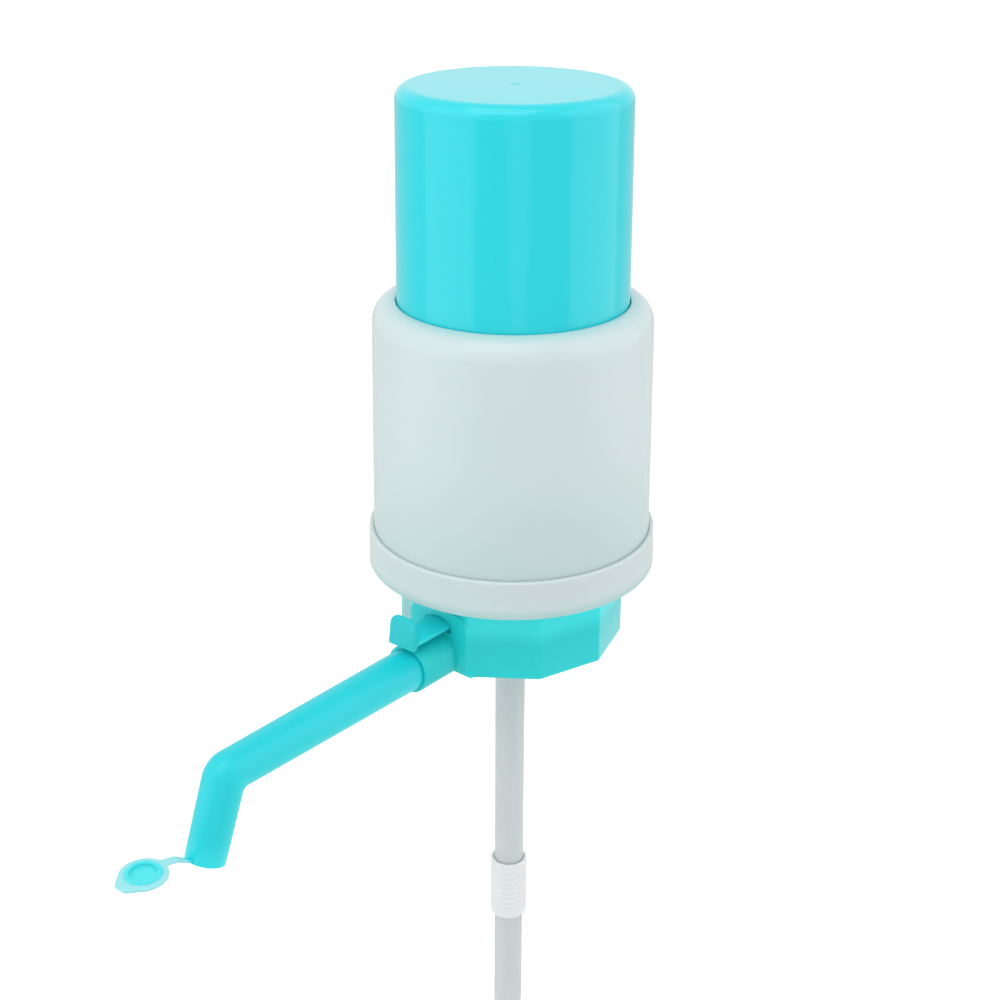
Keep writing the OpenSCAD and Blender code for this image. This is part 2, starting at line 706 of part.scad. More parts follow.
// Air's way from the bottle up to the deck, across, and down to the nozzle in the chamber
module air_way() {
    rotate(-riser_angle) translate([0, -vent_from, ceiling_z - 1])
        cylinder(r = vent_r, h = vent_duct_z - ceiling_z + 1);
    translate([0, 0, vent_duct_z]) rotate(-riser_angle) translate([0, vent_r - vent_from, 0])
        rotate([90, 0, 0]) cylinder(r = vent_r - 0.05, h = riser_len + vent_r - vent_from);
    translate([-riser_x, -riser_s, vent_z - vent_r])
        cylinder(r = vent_riser_r, h = vent_duct_z - vent_z + vent_r);
    translate([1, -riser_s, vent_z]) rotate([0, -90, 0]) cylinder(r = vent_r, h = riser_x + 1);
    translate([0, -riser_s, vent_z]) cylinder(r = vent_riser_r, h = nozzle_z + 1 - vent_z);
}

// Collar: grips the neck, carries the housing, the water way, the lever and the socket
module base_collar() {
    color([0.20, 0.83, 0.84]) difference() {
        union() {
            difference() {
                union() {
                    difference() {
                        collar_body();
                        collar_bevels();
                    }
                    collar_block();
                }
                collar_spaces();
            }
            translate([0, -riser_s, chamber_z0 - 1])
                cylinder(r = nozzle_r, h = nozzle_z - chamber_z0 + 1, $fn = 48);
        }
        water_way();
        air_way();
        for (a = screw_angles)
            rotate(a) translate([screw_s, 0, floor_z - screw_l - 1])
                cylinder(r = pilot_r, h = screw_l + 1, $fn = 32);
        translate([0, delivery_y, 0])
            valve_ports(delivery_r, ceiling_z - 1, deck_t + 2);
        translate([-boss_half_w - 1, -pivot_s, pivot_z]) rotate([0, 90, 0])
            cylinder(r = pin_r + rest_gap, h = boss_half_w + 1 + pin_x1);
    }
}

// Gasket that the bottle's rim is pressed against
module neck_gasket() {
    color([0.90, 0.90, 0.88]) tube(neck_bore_r - 0.2, gasket_in_r, gasket_t);
}

// Delivery valve under the deck
module delivery_valve() {
    color([0.86, 0.88, 0.88]) translate([0, delivery_y, ceiling_z - rest_gap])
        mushroom_valve(delivery_r, deck_t);
}

// End tab of the lever: its outer face leans in from a thick foot to a thin top
module lever_tab() {
    z0 = crown_z - tab_below;
    intersection() {
        arched_slab(tab_half_w, z0, z0 + tab_h, tab_s, tab_s + tab_t, tab_corner);
        rotate([90, 0, 90]) translate([0, 0, -tab_half_w - 1])
            linear_extrude(height = 2 * tab_half_w + 2) mirror([1, 0]) polygon([
                [tab_s - 1, z0 - 1], [tab_s + tab_t, z0 - 1], [tab_s + tab_t, z0],
                [tab_s + tab_top_t, z0 + tab_h], [tab_s - 1, z0 + tab_h + 1]]);
    }
}

// Release lever: an arched bar with an upright end tab, a hub and a short inner arm
module release_lever() {
    bar_s0 = pivot_s - 1;
    color([0.16, 0.78, 0.80]) difference() {
        union() {
            intersection() {
                along_spout(bar_s0, crown_z - bar_arch_r) difference() {
                    cylinder(r = bar_arch_r, h = tab_s - bar_s0 + eps);
                    translate([0, 0, -1])
                        cylinder(r = bar_arch_r - bar_t, h = tab_s - bar_s0 + 2);
                }
                translate([-bar_half_w, -tab_s - 1, crown_z - bar_arch_r])
                    cube([2 * bar_half_w, tab_s, bar_arch_r + 1]);
            }
            lever_tab();
            translate([-bar_half_w, -pivot_s, pivot_z]) rotate([0, 90, 0])
                cylinder(r = hub_r, h = 2 * bar_half_w, $fn = 48);
            translate([-plug_r - 1.2, -pivot_s, arm_z0])
                cube([2 * plug_r + 2.4, pivot_s - chamber_s0 - run_gap, arm_z1 - arm_z0]);
        }
        translate([-bar_half_w - 1, -pivot_s, pivot_z]) rotate([0, 90, 0])
            cylinder(r = pin_r + pin_play, h = 2 * bar_half_w + 2, $fn = 48);
        translate([0, -riser_s, arm_z0 - 1]) cylinder(r = 0.85, h = 4, $fn = 32);
    }
}

// Steel pin of the lever
module lever_pin() {
    color([0.75, 0.76, 0.78]) translate([-boss_half_w + 0.4, -pivot_s, pivot_z])
        rotate([0, 90, 0])
            cylinder(r = pin_r, h = boss_half_w - 0.5 + pin_x1, $fn = 48);
}

// Silicone plug that closes the vent, held in the lever's inner arm
module release_plug() {
    color([0.86, 0.88, 0.88]) translate([0, -riser_s, arm_z0 - plug_h]) {
        cylinder(r = plug_r, h = plug_h, $fn = 48);
        cylinder(r = 0.8, h = plug_h + 2.6, $fn = 32);
    }
}

// Coil spring over the lever's inner arm: closed turns at both ends of an open helix
module lever_spring() {
    wire_sides = 8;
    turn_steps = 16;
    z0 = arm_z1 + wire_r + rest_gap;
    z1 = ceiling_z - wire_r - rest_gap;
    dead = 2 * wire_r + 0.1;
    steps = coil_turns * turn_steps;
    rise = [for (i = [0:steps]) let (t = i / turn_steps)
        t < 1 ? dead * t
        : t > coil_turns - 1 ? z1 - z0 - dead * (coil_turns - t)
        : dead + (z1 - z0 - 2 * dead) * (t - 1) / (coil_turns - 2)];
    points = [for (i = [0:steps]) for (j = [0:wire_sides - 1])
        let (a = 360 * i / turn_steps, b = 360 * j / wire_sides, r = coil_r + wire_r * cos(b))
        [r * cos(a), r * sin(a), z0 + rise[i] + wire_r * sin(b)]];
    walls = [for (i = [0:steps - 1]) for (j = [0:wire_sides - 1])
        let (k = (j + 1) % wire_sides, p = i * wire_sides, q = p + wire_sides)
        each [[p + j, q + j, q + k], [p + j, q + k, p + k]]];
    last = steps * wire_sides;
    ends = concat([for (j = [1:wire_sides - 2]) [0, j, j + 1]],
                  [for (j = [1:wire_sides - 2]) [last, last + j + 1, last + j]]);
    color([0.75, 0.76, 0.78]) translate([0, -riser_s, 0])
        polyhedron(points = points, faces = concat(walls, ends));
}

// Straight run and tip of the spout, with the given radii; both reach a little into the bend
module spout_run(s0, r0, r1, r2, past = 0) {
    along_spout(s0) cylinder(r1 = r0, r2 = r1, h = elbow_s0 - s0 + lap);
    at_tip() translate([0, 0, -past])
        cylinder(r1 = r2, r2 = r1, h = tip_l - bend_t + past + lap);
}

// Bend of the spout with a given radius of its section
module spout_bend(r) {
    translate([0, -elbow_s0, spout_z - bend_r]) rotate([180, -90, 0])
        rotate_extrude(angle = drop_angle) translate([bend_r, 0]) circle(r = r + bend_step);
}

// Spout: a spigot in the socket, a straight run, an elbow and the tip with the strap's stub
module spout_tube() {
    color([0.22, 0.84, 0.87]) difference() {
        union() {
            along_spout(spout_s0) cylinder(r = spout_fit_r, h = spout_s1 - spout_s0 + eps);
            spout_run(spout_s1, spout_root_r, elbow_r, tip_r);
            spout_bend(elbow_r);
            at_tip() rotate([90, 0, 90]) translate([0, 0, -strap_w / 2])
                linear_extrude(height = strap_w) mirror([1, 0]) polygon([
                    [tip_r - 0.8, 0.35], [hinge_w - 0.1, hinge_up],
                    [hinge_w - 0.3, hinge_up + strap_t], [tip_r - 0.8, 0.35 + strap_t + 0.2]]);
        }
        along_spout(spout_s0 - 1) cylinder(r = spigot_bore_r, h = socket_end + 3 - spout_s0);
        spout_run(socket_end + 1, spigot_bore_r, spout_bore_r, spout_bore_r, 1);
        spout_bend(spout_bore_r);
        along_spout(o_ring_s - o_ring_t - 0.05)
            tube(spout_fit_r + 1, groove_r, 2 * o_ring_t + 0.1);
    }
}

// O-ring in the spout's groove
module spout_o_ring() {
    color([0.10, 0.10, 0.11]) along_spout(o_ring_s)
        rotate_extrude() translate([o_ring_r, 0]) circle(r = o_ring_t, $fn = 32);
}

// Spout cap, drawn closed on the tip: a flange with a raised ring round a dish, a plug that is
// open at its end, the pull tab and the strap
module cap_closed() {
    gap = rest_gap;
    plug_bore_r = plug_fit_r - plug_wall;
    difference() {
        union() {
            translate([0, 0, -flange_t - gap]) cylinder(r = flange_r, h = flange_t);
            translate([0, 0, -gap - eps])
                cylinder(r1 = plug_fit_r, r2 = plug_fit_r - plug_draft, h = plug_l + eps);
            translate([0, 0, -flange_t - gap - lip_h])
                cylinder(r1 = plug_bore_r + lip_w - 0.2, r2 = plug_bore_r + lip_w,
                    h = lip_h + eps);
            translate([0, 0, -flange_t - gap]) linear_extrude(height = flange_t) {
                polygon([[-pull_w / 2, pull_reach - 1], [-pull_w / 2 + 1, pull_reach],
                         [pull_w / 2 - 1, pull_reach], [pull_w / 2, pull_reach - 1],
                         [flange_r * 0.7, flange_r * 0.7], [-flange_r * 0.7, flange_r * 0.7]]);
            }
            rotate([90, 0, 90]) translate([0, 0, -strap_w / 2])
                linear_extrude(height = strap_w) mirror([1, 0]) polygon([
                    [flange_r - 1, -gap], [flange_r, -gap], [hinge_w - 0.1, hinge_up - 0.15],
                    [hinge_w + 0.35, hinge_up - strap_t], [flange_r, -gap - strap_t],
                    [flange_r - 1, -gap - flange_t]]);
        }
        translate([0, 0, -gap])
            cylinder(r1 = plug_bore_r, r2 = plug_bore_r - plug_draft, h = plug_l + eps);
        translate([0, 0, -flange_t - gap - lip_h - 1])
            cylinder(r = plug_bore_r, h = 1 + lip_h + dish_t);
    }
}

// Spout cap swung open on its strap
module spout_cap() {
    color([0.45, 0.90, 0.92]) at_tip()
        translate([0, -hinge_w, hinge_up]) rotate([-open_angle, 0, 0])
            translate([0, hinge_w, -hinge_up]) cap_closed();
}

// Upper section of the dip tube, pushed on the nipple
module dip_tube_upper() {
    color([0.90, 0.93, 0.94]) translate([0, 0, joint_z]) tube(tube_r, tube_bore_r, tube_l);
}

// Coupler between the two sections, with a stop between their ends
module tube_coupler() {
    color([0.86, 0.90, 0.92]) translate([0, 0, joint_z - stop_t / 2]) {
        translate([0, 0, -coupler_l / 2])
            tube(coupler_bore_r + coupler_t, coupler_bore_r, coupler_l);
        translate([0, 0, -stop_t / 2]) tube(coupler_bore_r + eps, tube_bore_r + stop_step, stop_t);
    }
}

// Lower section of the dip tube
module dip_tube_lower() {
    color([0.90, 0.93, 0.94]) translate([0, 0, joint_z - stop_t - tube_l])
        tube(tube_r, tube_bore_r, tube_l);
}

push_cap();
bellows_plate();
intake_valve();
bellows();
bellows_clamp();
outer_sleeve();
base_ring();
base_screws();
base_collar();
neck_gasket();
delivery_valve();
release_lever();
lever_pin();
lever_spring();
release_plug();
spout_tube();
spout_o_ring();
spout_cap();
dip_tube_upper();
tube_coupler();
dip_tube_lower();
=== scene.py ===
"""Manual press pump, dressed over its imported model.

Heights are in metres from the neck's seat, Z is the neck's axis and the spout points along
minus Y.
"""

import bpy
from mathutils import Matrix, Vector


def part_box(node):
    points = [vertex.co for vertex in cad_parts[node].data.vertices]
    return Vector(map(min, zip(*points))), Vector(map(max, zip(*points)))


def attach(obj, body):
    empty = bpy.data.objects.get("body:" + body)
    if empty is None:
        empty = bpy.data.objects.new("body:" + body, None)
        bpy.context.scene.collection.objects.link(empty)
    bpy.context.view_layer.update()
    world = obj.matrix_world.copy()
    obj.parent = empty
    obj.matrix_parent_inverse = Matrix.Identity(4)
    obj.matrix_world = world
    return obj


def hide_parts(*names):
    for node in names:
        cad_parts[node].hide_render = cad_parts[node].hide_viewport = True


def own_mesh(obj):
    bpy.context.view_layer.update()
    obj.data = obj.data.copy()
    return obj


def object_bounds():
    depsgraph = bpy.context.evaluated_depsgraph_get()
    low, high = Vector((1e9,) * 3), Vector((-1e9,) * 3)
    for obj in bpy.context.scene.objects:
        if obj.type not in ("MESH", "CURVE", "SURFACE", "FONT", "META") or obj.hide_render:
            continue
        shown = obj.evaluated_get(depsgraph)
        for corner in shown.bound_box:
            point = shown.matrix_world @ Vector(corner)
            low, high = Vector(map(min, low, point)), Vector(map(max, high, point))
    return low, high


bl_info = {
    "name": "Press pump",
    "version": (1, 0, 0),
    "blender": (4, 5, 0),
    "location": "3D View > Sidebar > Pump",
    "description": "Builds the pump's mouldings, bellows, spout, cap, finishes and stage",
    "category": "Object",
}

from math import atan2, cos, hypot, pi, radians, sin, sqrt, tan

import bmesh
import bpy
from mathutils import Matrix, Vector

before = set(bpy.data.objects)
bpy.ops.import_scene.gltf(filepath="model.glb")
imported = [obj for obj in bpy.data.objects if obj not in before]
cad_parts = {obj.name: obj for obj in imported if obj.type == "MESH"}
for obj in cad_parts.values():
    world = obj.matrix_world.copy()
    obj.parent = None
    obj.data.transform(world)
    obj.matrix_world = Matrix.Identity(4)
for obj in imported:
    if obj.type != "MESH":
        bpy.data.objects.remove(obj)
CAD_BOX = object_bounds()


def low(node):
    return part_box(node)[0]


def high(node):
    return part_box(node)[1]


SPOUT_CORNER, SPOUT_AXIS = 0.1287, -0.0172  # elbow's corner from the neck's axis, spout's height
SHOULDER_GAP = 0.0004                       # from the sleeve's opening to its shoulder's centre
BELLOWS_FOOT, STROKE = 0.013, 0.060         # the cuff's lower end, and how far the cap goes down
ON_AXIS = 1e-7                              # a profile point nearer to the axis is a pole


# Sizes and colours


def length(name, text, default):
    return bpy.props.FloatProperty(
        name=name, description=text, default=default, min=0, subtype="DISTANCE",
        unit="LENGTH", precision=5)


def angle(name, text, degrees):
    return bpy.props.FloatProperty(
        name=name, description=text, default=radians(degrees), subtype="ANGLE")


def count(name, text, default):
    return bpy.props.IntProperty(name=name, description=text, default=default, min=1)


def colour(name, text, default):
    return bpy.props.FloatVectorProperty(
        name=name, description=text, default=default, min=0, max=1, size=3,
        subtype="COLOR")


class PumpSizes(bpy.types.PropertyGroup):
    cap_radius: length("Cap radius", "Outer radius of the push cap at its top", 0.03588)
    cap_foot: length("Cap foot", "Outer radius of the push cap above its flare", 0.0367)
    cap_edge: length("Cap edge", "Radius of the push cap's top edge", 0.004)
    cap_wall: length("Cap wall", "Thickness of the push cap's wall", 0.002)
    cap_ribs: count("Cap ribs", "Ribs under the push cap's roof", 6)
    shoulder: length("Shoulder", "Radius of the sleeve's rounded shoulder", 0.007)
    opening: length("Opening", "Radius of the sleeve's opening", 0.0371)
    sleeve_wall: length("Sleeve wall", "Thickness of the sleeve's wall", 0.002)
    ring_edge: length("Ring edge", "Radius of the base ring's edges", 0.0006)
    folds: count("Folds", "Folds of the bellows", 12)
    fold_depth: length("Fold depth", "Depth of one fold of the bellows", 0.005)
    film: length("Film", "Thickness of the bellows' film", 0.0009)
    outer_bend: length("Outer bend", "Radius of the elbow's outer side", 0.0084)
    inner_bend: length("Inner bend", "Radius of the elbow's inner side", 0.0013)
    spout_bore: length("Spout bore", "Inner radius of the spout", 0.005)
    spout_drop: angle("Spout drop", "Angle of the spout's tip below the horizontal", 68.65)
    coil_turns: count("Coil turns", "Turns of the lever's spring", 6)
    coil_wire: length("Coil wire", "Radius of the spring's wire", 0.00025)


class PumpColours(bpy.types.PropertyGroup):
    turquoise: colour("Turquoise", "Push cap and spout", (0.010, 0.67, 0.75))
    collar: colour("Collar", "Collar and its socket", (0.006, 0.66, 0.68))
    lever: colour("Lever", "Release lever", (0.006, 0.55, 0.585))
    # Painted light: the lever's bar is painted lighter than its tab, though both are one
    # moulding.
    lever_bar: colour("Lever's bar", "Bar of the release lever", (0.020, 0.75, 0.81))
    # Painted light: the collar's colour just under the ring, brighter than the collar.
    collar_glow: colour("Collar's glow", "Collar just under the ring", (0.035, 0.89, 0.91))
    # Painted light on the underside of the spout's elbow and on its tip.
    elbow: colour("Elbow", "Inner side of the spout's elbow", (0.016, 0.75, 0.80))
    tip: colour("Tip", "End of the spout", (0.035, 0.82, 0.87))
    milk: colour("Milk", "Sleeve", (0.655, 0.745, 0.750))
    # Painted shade: the sleeve's colour at its foot, darker than the sleeve.
    milk_foot: colour("Milk's foot", "Sleeve at its foot", (0.545, 0.675, 0.675))
    # Painted light: cyan light from the push cap on the sleeve's opening.
    milk_mouth: colour("Milk's mouth", "Sleeve at its opening", (0.45, 0.72, 0.73))
    ring: colour("Ring", "Base ring", (0.665, 0.712, 0.722))
    # Painted shade: the ring's colour at its foot, darker than the ring.
    ring_foot: colour("Ring's foot", "Base ring at its foot", (0.60, 0.69, 0.70))
    # Painted shade: darker cyan along the ring's lower edge.
    ring_edge: colour("Ring's edge", "Base ring's lower edge", (0.42, 0.61, 0.605))
    pale: colour("Pale cap", "Soft cap of the spout", (0.33, 0.74, 0.78))
    pale_core: colour("Pale cap's middle", "Ring and dish of the cap", (0.07, 0.74, 0.78))
    pale_cloud: colour("Pale cap's clouds", "Clouds in the cap", (0.02, 0.6, 0.65))
    film: colour("Film", "Bellows", (0.80, 0.84, 0.84))
    white: colour("White", "Plate, clamp and coupler", (0.80, 0.83, 0.83))
    tube: colour("Tube", "Dip tube", (0.84, 0.90, 0.91))
    silicone: colour("Silicone", "Valves, plug and gasket", (0.72, 0.76, 0.76))
    steel: colour("Steel", "Screws, pin and spring", (0.58, 0.59, 0.61))
    rubber: colour("Rubber", "O-ring", (0.018, 0.018, 0.020))


def settings_of(group):
    """Names of a property group's own settings."""
    return [key for key in group.bl_rna.properties.keys() if key not in ("rna_type", "name")]


# Node trees


class Value:
    """A socket's value. Sums, products and powers of values add Math nodes."""

    def __init__(self, tree, socket):
        self.tree = tree
        self.socket = socket

    def calc(self, operation, *others):
        return self.tree.node(
            "ShaderNodeMath", {"operation": operation},
            dict(enumerate((self, *others))))

    def turned_round(self, operation, other):
        return self.tree.node(
            "ShaderNodeMath", {"operation": operation}, {0: other, 1: self})

    def __add__(self, other):
        return self.calc("ADD", other)

    __radd__ = __add__

    def __mul__(self, other):
        return self.calc("MULTIPLY", other)

    __rmul__ = __mul__

    def __sub__(self, other):
        return self.calc("SUBTRACT", other)

    def __rsub__(self, other):
        return self.turned_round("SUBTRACT", other)

    def __truediv__(self, other):
        return self.calc("DIVIDE", other)

    def __rtruediv__(self, other):
        return self.turned_round("DIVIDE", other)

    def __pow__(self, other):
        return self.calc("POWER", other)

    def __rpow__(self, other):
        return self.turned_round("POWER", other)


class Tree:
    """Adds nodes to a shader or geometry tree by type, settings and socket values."""

    def __init__(self, nodes):
        self.nodes = nodes.nodes
        self.links = nodes.links
        self.nodes.clear()

    def fill(self, socket, value):
        """Links a value to a socket, or sets the socket's own value."""
        if isinstance(value, Value):
            self.links.new(value.socket, socket)
        elif socket.type == "RGBA" and len(value) == 3:
            socket.default_value = (*value, 1)
        else:
            socket.default_value = value

    def make(self, kind, settings=None, values=None):
        made = self.nodes.new(kind)
        for key, value in (settings or {}).items():
            setattr(made, key, value)
        for key, value in (values or {}).items():
            self.fill(made.inputs[key], value)
        return made

    def node(self, kind, settings=None, values=None, out=0):
        return Value(self, self.make(kind, settings, values).outputs[out])

    def part(self, vector, axis):
        """A vector's part along X, Y or Z."""
        return self.node("ShaderNodeSeparateXYZ", None, {0: vector}, out=axis)

    def between(self, value, start, end):
        """0 before start, 1 after end, smooth between them."""
        return self.node(
            "ShaderNodeMapRange", {"interpolation_type": "SMOOTHSTEP"},
            {"Value": value, "From Min": start, "From Max": end})

    def mix(self, factor, a, b):
        """Mixes two colours."""
        made = self.make("ShaderNodeMix", {"data_type": "RGBA"})
        colours = [s for s in made.inputs if s.type == "RGBA"]
        for socket, value in zip([made.inputs[0], *colours], (factor, a, b)):
            self.fill(socket, value)
        return Value(self, next(s for s in made.outputs if s.type == "RGBA"))


def spread(value, lowest, highest):
    """Value from 0 to 1 put between two limits."""
    return value * (highest - lowest) + lowest


# Finishes


class Finish(Tree):
    """A material whose patterns read object coordinates."""

    def __init__(self, name):
        self.material = bpy.data.materials.new(name)
        self.material.use_nodes = True
        super().__init__(self.material.node_tree)
        self.place = self.node("ShaderNodeTexCoord", out="Object")

    def noise(self, scale, detail, stretch=None):
        """Noise from 0 to 1 with features of about 1 / scale metres."""
        where = self.place
        if stretch:
            where = self.node(
                "ShaderNodeMapping", None, {"Vector": self.place, "Scale": stretch})
        return self.node(
            "ShaderNodeTexNoise", None, {"Vector": where, "Scale": scale, "Detail": detail})

    def along(self, axis):
        """Place along X, Y or Z in metres."""
        return self.part(self.place, axis)

    def bump(self, height, strength=0.4, distance=0.00003):
        return self.node(
            "ShaderNodeBump", None,
            {"Height": height, "Distance": distance, "Strength": strength})

    def flow(self):
        """Faint marks of the plastic's flow."""
        return self.noise(38, 3, (1, 1, 0.35))

    def polish(self, middle, swing=0.03):
        """Roughness of a hard moulding, never quite even."""
        return middle + spread(self.noise(70, 4), -swing, swing)

    def moulded(self, grain=0.06):
        """Bumps of a hard moulding, with a share of fine grain."""
        return self.bump(self.noise(130, 2) + self.noise(1600, 2) * grain)

    def satin(self, middle):
        """Roughness of a soft plastic."""
        return middle + spread(self.noise(600, 3), -0.05, 0.06)

    def skin(self, strength=0.5):
        """Bumps of a soft plastic."""
        return self.bump(self.noise(2200, 2), strength)

    def done(self, tint, roughness, normal, **constants):
        inputs = {"Base Color": tint, "Roughness": roughness, "Normal": normal}
        for key, value in constants.items():
            inputs[key.replace("_", " ")] = value
        shader = self.node("ShaderNodeBsdfPrincipled", None, inputs)
        self.make("ShaderNodeOutputMaterial", None, {0: shader})
        return self.material


def deeper(tint, share):
    return tuple(c * share for c in tint)


def scatter(weight, scale, red, **more):
    """Light that spreads inside a plastic; red is its reach against green and blue."""
    return {"Subsurface_Weight": weight, "Subsurface_Radius": (red, 1.0, 1.0),
            "Subsurface_Scale": scale, **more}


HARD = scatter(0.3, 0.004, 0.3, Specular_IOR_Level=0.4)


def glossy_moulding(name, tint, roughness):
    """Coloured polypropylene: faint flow marks under a polish that is never quite even."""
    f = Finish(name)
    tint = f.mix(f.flow(), deeper(tint, 0.97), tint)
    rough = f.polish(roughness) + spread(f.noise(1600, 2), -0.01, 0.01)
    return f.done(tint, rough, f.moulded())


def milky_wall(name, tint, foot, mouth, edge, roughness=0.24):
    """Milky wall with painted shade that deepens towards its foot and on the shoulder, painted
    cyan light at the sleeve's mouth and painted cyan shade along the ring's lower edge."""
    f = Finish(name)
    z = f.along("Z")
    # Painted shade on the shoulder, which tones down its highlight.
    shoulder = deeper(tint, 0.955)
    # Painted shade, deeper towards the foot.
    tint = f.mix(f.between(z, 0.060, 0.012), tint, foot)
    tint = f.mix(f.between(z, 0.0875, 0.0905), tint, shoulder)
    # Painted light: cyan light from the push cap, painted round the sleeve's opening.
    tint = f.mix(f.between(z, 0.0915, 0.0945) * 0.5, tint, mouth)
    cloud = f.noise(30, 3, (1, 1, 0.5))
    tint = f.mix(spread(cloud, 0.0, 0.5), tint, deeper(foot, 0.98))
    # Painted shade along the lower edge: darker cyan on the ring, the foot's colour on the
    # sleeve.
    tint = f.mix(f.between(z, 0.0085, 0.0050), tint, edge)
    rough = roughness + spread(f.noise(80, 4), -0.03, 0.03)
    bumps = f.noise(120, 2) + f.noise(1400, 2) * 0.06
    return f.done(tint, rough, f.bump(bumps), **scatter(0.35, 0.004, 0.9, IOR=1.49))


def soft_moulding(name, tint, roughness, weight, through=0.0):
    """Soft translucent plastic with a satin skin."""
    f = Finish(name)
    tint = f.mix(f.noise(180, 3), deeper(tint, 0.95), tint)
    return f.done(
        tint, f.satin(roughness), f.skin(0.6),
        **scatter(weight, 0.0025, 0.8, Transmission_Weight=through, IOR=1.45))


def soft_cap(name, tint, core, clouds, centre):
    """Soft cap that is pale where it is thin and deeper inside its raised ring."""
    f = Finish(name)
    x, y = f.along("X"), f.along("Y") - centre
    rim = f.between((x * x + y * y) ** 0.5, 0.0051, 0.0057)
    tint = f.mix(rim, core, tint)
    tint = f.mix(spread(f.noise(180, 3), 0.0, 0.06), tint, clouds)
    return f.done(tint, f.satin(0.3), f.skin(), **scatter(0.4, 0.0015, 0.8, IOR=1.45))


def strap_root_finish(name, tint, spout):
    """Strap that takes the spout's colour where it grows from the tip."""
    f = Finish(name)
    tint = f.mix(f.between(f.along("Y"), -0.1464, -0.1440) * 0.8, tint, spout)
    return f.done(tint, f.satin(0.33), f.skin(), **scatter(0.3, 0.0012, 0.8, IOR=1.45))


def spout_moulding(name, tint, elbow, tip, drop):
    """Satin spout with painted light on the elbow's inner side and at its tip."""
    f = Finish(name)
    y, z = f.along("Y") + SPOUT_CORNER, f.along("Z") - SPOUT_AXIS
    across = z.calc("MAXIMUM", z * cos(drop) - y * sin(drop))
    down = 0 - y * cos(drop) - z * sin(drop)
    tint = f.mix(f.flow(), deeper(tint, 0.92), deeper(tint, 0.95))
    # Painted light: the underside along the elbow's inner side is painted brighter.
    tint = f.mix(f.between(across, 0.0035, -0.0055), tint, elbow)
    # Painted light: the tip is painted brighter towards its end.
    tint = f.mix(f.between(down, 0.0170, 0.0262) * 0.5, tint, tip)
    return f.done(tint, f.polish(0.36), f.moulded(), **HARD)


def lever_moulding(name, tint, bar):
    """Satin lever with painted light on its bar, which is painted lighter than its end tab."""
    f = Finish(name)
    # Painted light: the bar is painted lighter than the end tab.
    tint = f.mix(f.between(f.along("Y"), -0.0530, -0.0510), tint, bar)
    return f.done(tint, f.polish(0.4), f.moulded(), **HARD)


def collar_moulding(name, tint, painted_light_under_ring):
    """Polished collar with painted light just under the ring, and a rougher block and socket
    that also carry painted shade.
    """
    f = Finish(name)
    block = f.between(f.along("Y"), -0.0360, -0.0376)
    # Painted light: the collar is painted brighter just under the ring, where light comes off
    # the ring.
    glow = f.between(f.along("Z"), -0.0120, -0.0030)
    # Painted shade: the block and socket are painted darker where the lever and ring shade them;
    # their higher roughness is their own matt finish.
    painted_shade_on_block = deeper(tint, 0.86)
    tint = f.mix(f.flow(), deeper(tint, 0.97), tint)
    tint = f.mix(glow, tint, painted_light_under_ring)
    tint = f.mix(block * 0.6, tint, painted_shade_on_block)
    rough = f.polish(0.17 + block * 0.22, 0.02)
    return f.done(tint, rough, f.moulded(spread(block, 0.04, 0.3)), **HARD)


def bright_steel(name, tint):
    """Turned steel with fine drawn lines."""
    f = Finish(name)
    lines = f.noise(2400, 3, (1, 1, 0.05))
    tint = f.mix(lines, deeper(tint, 0.86), tint)
    rough = spread(f.noise(1500, 2), 0.2, 0.36)
    return f.done(tint, rough, f.bump(lines, distance=0.00002), Metallic=1.0)


def black_ring_rubber(name, tint):
    """Rubber with a fine dull skin."""
    f = Finish(name)
    skin = f.noise(3000, 2)
    tint = f.mix(skin, tint, deeper(tint, 1.8))
    return f.done(tint, spread(skin, 0.45, 0.6), f.bump(skin, 0.5))


def drawn_tube(name, tint, through):
    """Extruded tube: fine lines along its length and a milky wall."""
    f = Finish(name)
    lines = f.noise(1400, 2, (1, 1, 0.01))
    tint = f.mix(f.noise(40, 2, (1, 1, 0.3)), deeper(tint, 0.93), tint)
    return f.done(
        tint, spread(lines, 0.16, 0.3), f.bump(lines, 0.5),
        **scatter(0.3, 0.002, 0.9, Transmission_Weight=through, IOR=1.45))


FINISHES = {}


